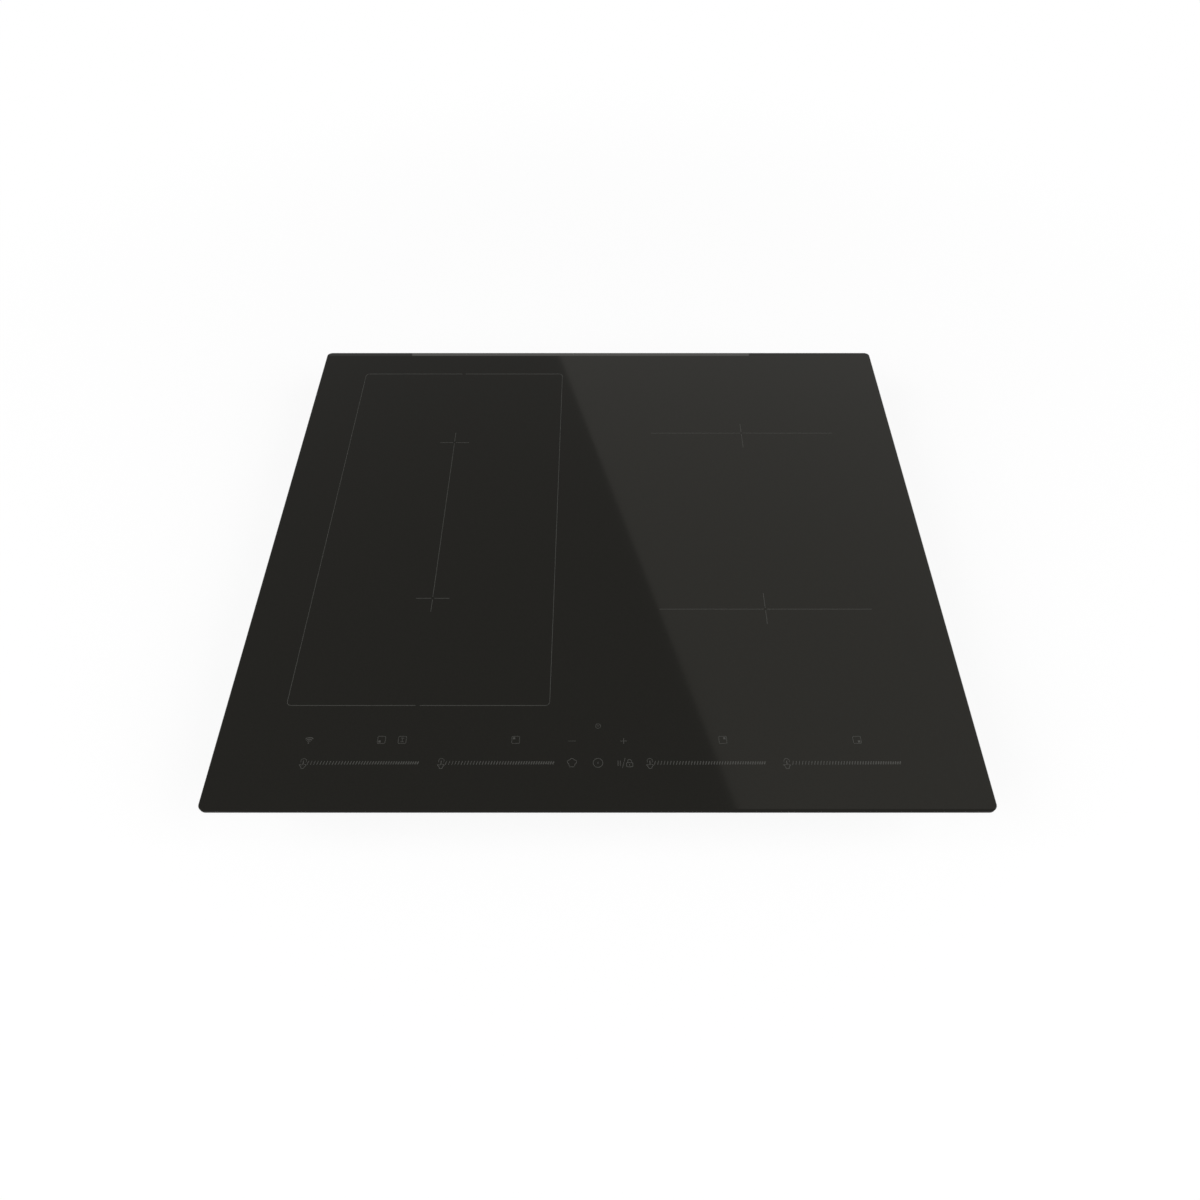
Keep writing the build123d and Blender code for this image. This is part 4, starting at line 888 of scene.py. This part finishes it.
def winding(zone):
    """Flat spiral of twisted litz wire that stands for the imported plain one, and rides with its coil."""
    node = f"coil_winding_{zone}"
    low, high = (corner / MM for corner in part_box(node))
    centre = coil_centre(zone)
    middle = Vector((centre.x, centre.y, (low.z + high.z) / 2))
    turns = round((high.x - centre.x - WIRE_D / 2 - WINDING_INNER_R) / WIRE_PITCH)
    points = winding_path(turns)
    corners = []
    length = 0.0
    for index, point in enumerate(points):
        before = points[max(index - 1, 0)]
        after = points[min(index + 1, len(points) - 1)]
        length += (point - before).length
        twist = 2 * math.pi * length / TWIST_LENGTH
        corners += bundle_ring(middle + point, (after - before).normalized(), twist)
    last = len(corners) - RING_SIDES
    faces = [tuple(reversed(range(RING_SIDES))), tuple(range(last, len(corners)))]
    for start in range(0, last, RING_SIDES):
        beyond = start + RING_SIDES
        for side in range(RING_SIDES):
            after = (side + 1) % RING_SIDES
            faces.append((start + side, start + after, beyond + after, beyond + side))
    data = bpy.data.meshes.new(f"winding_{zone}")
    data.from_pydata([corner * MM for corner in corners], [], faces)
    data.polygons.foreach_set("use_smooth", [len(face) == 4 for face in faces])
    data.materials.append(FINISHES["litz_copper"].material)
    made = add_object(f"winding_{zone}", data)
    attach(made, f"coil_{zone}")
    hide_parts(node)


for zone in ZONES:
    springs(zone)
    winding(zone)


def stage_mesh(name, corners, material, **visible):
    data = bpy.data.meshes.new(name)
    data.from_pydata(corners, [], [list(range(len(corners)))])
    data.materials.append(material)
    made = add_object(name, data)
    for ray, value in visible.items():
        setattr(made, f"visible_{ray}", value)


def floor_material():
    """Pale floor: white to the camera but for the object's shadow, and clear from below."""
    made = bpy.data.materials.new("floor")
    made.use_nodes = True
    tree = made.node_tree
    tree.nodes.clear()
    link = tree.links.new
    diffuse = tree.nodes.new("ShaderNodeBsdfDiffuse")
    diffuse.inputs["Color"].default_value = (FLOOR_ALBEDO, FLOOR_ALBEDO, FLOOR_ALBEDO, 1.0)
    glow = tree.nodes.new("ShaderNodeEmission")
    path = tree.nodes.new("ShaderNodeLightPath")
    seen = path.outputs["Is Camera Ray"]
    for ray in ("Is Glossy Ray", "Is Transmission Ray"):
        either = tree.nodes.new("ShaderNodeMath")
        either.operation = "MAXIMUM"
        link(seen, either.inputs[0])
        link(path.outputs[ray], either.inputs[1])
        seen = either.outputs[0]
    place = tree.nodes.new("ShaderNodeNewGeometry")
    distance = tree.nodes.new("ShaderNodeVectorMath")
    distance.operation = "LENGTH"
    link(place.outputs["Position"], distance.inputs[0])
    fade = tree.nodes.new("ShaderNodeMapRange")
    fade.interpolation_type = "SMOOTHSTEP"
    fade.inputs["From Min"].default_value = FLOOR_FADE[0]
    fade.inputs["From Max"].default_value = FLOOR_FADE[1]
    fade.inputs["To Min"].default_value = FLOOR_WHITE
    fade.inputs["To Max"].default_value = 1.0
    link(distance.outputs["Value"], fade.inputs["Value"])
    share = tree.nodes.new("ShaderNodeMath")
    share.operation = "MULTIPLY"
    link(seen, share.inputs[0])
    link(fade.outputs["Result"], share.inputs[1])
    white = tree.nodes.new("ShaderNodeMixShader")
    link(share.outputs[0], white.inputs[0])
    link(diffuse.outputs[0], white.inputs[1])
    link(glow.outputs[0], white.inputs[2])
    clear = tree.nodes.new("ShaderNodeBsdfTransparent")
    sided = tree.nodes.new("ShaderNodeMixShader")
    link(place.outputs["Backfacing"], sided.inputs[0])
    link(white.outputs[0], sided.inputs[1])
    link(clear.outputs[0], sided.inputs[2])
    out = tree.nodes.new("ShaderNodeOutputMaterial")
    link(sided.outputs[0], out.inputs["Surface"])
    return made


def glow_material(name, level):
    made = bpy.data.materials.new(name)
    made.use_nodes = True
    tree = made.node_tree
    tree.nodes.clear()
    glow = tree.nodes.new("ShaderNodeEmission")
    glow.inputs["Strength"].default_value = level
    out = tree.nodes.new("ShaderNodeOutputMaterial")
    tree.links.new(glow.outputs[0], out.inputs["Surface"])
    return made


def floor():
    half = FLOOR_SIZE / 2
    corners = [(-half, -half, -FLOOR_DROP), (half, -half, -FLOOR_DROP)]
    corners += [(half, half, -FLOOR_DROP), (-half, half, -FLOOR_DROP)]
    stage_mesh("floor", corners, floor_material(), diffuse=False, glossy=False, shadow=False)


def overhead_panel():
    """Pale panel over the right half, whose straight edge the glass mirrors as a diagonal."""
    height = glass_high.z + PANEL_LIFT
    x, y, z = CAMERA_AT
    mirrored = Vector((x, y, 2 * glass_high.z - z))

    def above(point):
        on_glass = Vector((point[0] * MM, point[1] * MM, glass_high.z))
        ray = on_glass - mirrored
        return mirrored + ray * ((height - mirrored.z) / ray.z)

    back, front = (above(point) for point in PANEL_EDGE)
    along = (front - back).normalized()
    back = back - along * PANEL_BACK
    front = front + along * PANEL_FRONT
    right = Vector((PANEL_WIDE, 0, 0))
    stage_mesh(
        "overhead_panel",
        [front, back, back + right, front + right],
        glow_material("panel_glow", PANEL_LEVEL),
        camera=False,
        diffuse=False,
        shadow=False,
    )


def back_card():
    """White strip behind the hob, mirrored by the middle of its back bevel."""
    y = glass_high.y + CARD_GAP * MM
    left, right = (x * MM for x in CARD_X)
    low, high = (glass_high.z + z * MM for z in CARD_Z)
    corners = [(left, y, low), (right, y, low), (right, y, high), (left, y, high)]
    glow = glow_material("card_glow", CARD_LEVEL)
    stage_mesh("back_card", corners, glow, camera=False, diffuse=False, shadow=False)


def world():
    """White backdrop; towards the ceiling, where the glass looks, it falls to grey."""
    made = bpy.data.worlds.new("studio")
    bpy.context.scene.world = made
    made.use_nodes = True
    tree = made.node_tree
    tree.nodes.clear()
    link = tree.links.new
    coords = tree.nodes.new("ShaderNodeTexCoord")
    split = tree.nodes.new("ShaderNodeSeparateXYZ")
    link(coords.outputs["Generated"], split.inputs[0])
    ramp = tree.nodes.new("ShaderNodeValToRGB")
    ramp.color_ramp.interpolation = "EASE"
    stops = (
        (GROUND_TO, GROUND_LEVEL),
        (GROUND_FROM, 1.0),
        (0.0, 1.0),
        (ROOM_FROM, ROOM_LEVEL),
        (CEILING_FROM, CEILING_LEVEL),
    )
    elements = ramp.color_ramp.elements
    while len(elements) < len(stops):
        elements.new(0.5)
    for element, (angle, level) in zip(elements, stops):
        element.position = 0.5 + 0.5 * math.sin(math.radians(angle))
        element.color = (level, level, level, 1)
    height = tree.nodes.new("ShaderNodeMapRange")
    height.inputs["From Min"].default_value = -1.0
    link(split.outputs["Z"], height.inputs["Value"])
    link(height.outputs["Result"], ramp.inputs[0])
    room = tree.nodes.new("ShaderNodeBackground")
    link(ramp.outputs[0], room.inputs["Color"])
    backdrop = tree.nodes.new("ShaderNodeBackground")
    backdrop.inputs["Color"].default_value = (1, 1, 1, 1)
    path = tree.nodes.new("ShaderNodeLightPath")
    seen = tree.nodes.new("ShaderNodeMath")
    seen.operation = "MAXIMUM"
    link(path.outputs["Is Camera Ray"], seen.inputs[0])
    link(path.outputs["Is Transmission Ray"], seen.inputs[1])
    mix = tree.nodes.new("ShaderNodeMixShader")
    link(seen.outputs[0], mix.inputs[0])
    link(room.outputs[0], mix.inputs[1])
    link(backdrop.outputs[0], mix.inputs[2])
    out = tree.nodes.new("ShaderNodeOutputWorld")
    link(mix.outputs[0], out.inputs["Surface"])


def lamp(name, at):
    """Large soft lamp that lights the hob without a mirror image in the glass."""
    data = bpy.data.lights.new(name, "AREA")
    data.shape = "SQUARE"
    data.size = LAMP_SIZE
    data.energy = LAMP_POWER
    made = add_object(name, data)
    made.visible_glossy = False
    made.location = at
    made.rotation_mode = "QUATERNION"
    made.rotation_quaternion = (-Vector(at)).to_track_quat("-Z", "Y")


def camera():
    data = bpy.data.cameras.new("camera")
    data.lens = CAMERA_LENS
    data.sensor_width = SENSOR_WIDTH
    made = add_object("camera", data)
    made.location = CAMERA_AT
    made.rotation_euler = (math.radians(90 - CAMERA_PITCH), 0, 0)
    bpy.context.scene.camera = made


floor()
overhead_panel()
back_card()
world()
lamp("lamp_left", (-LAMP_OUT, LAMP_FRONT, LAMP_HIGH))
lamp("lamp_right", (LAMP_OUT, LAMP_FRONT, LAMP_HIGH))
camera()
bpy.context.scene.view_settings.view_transform = "Standard"
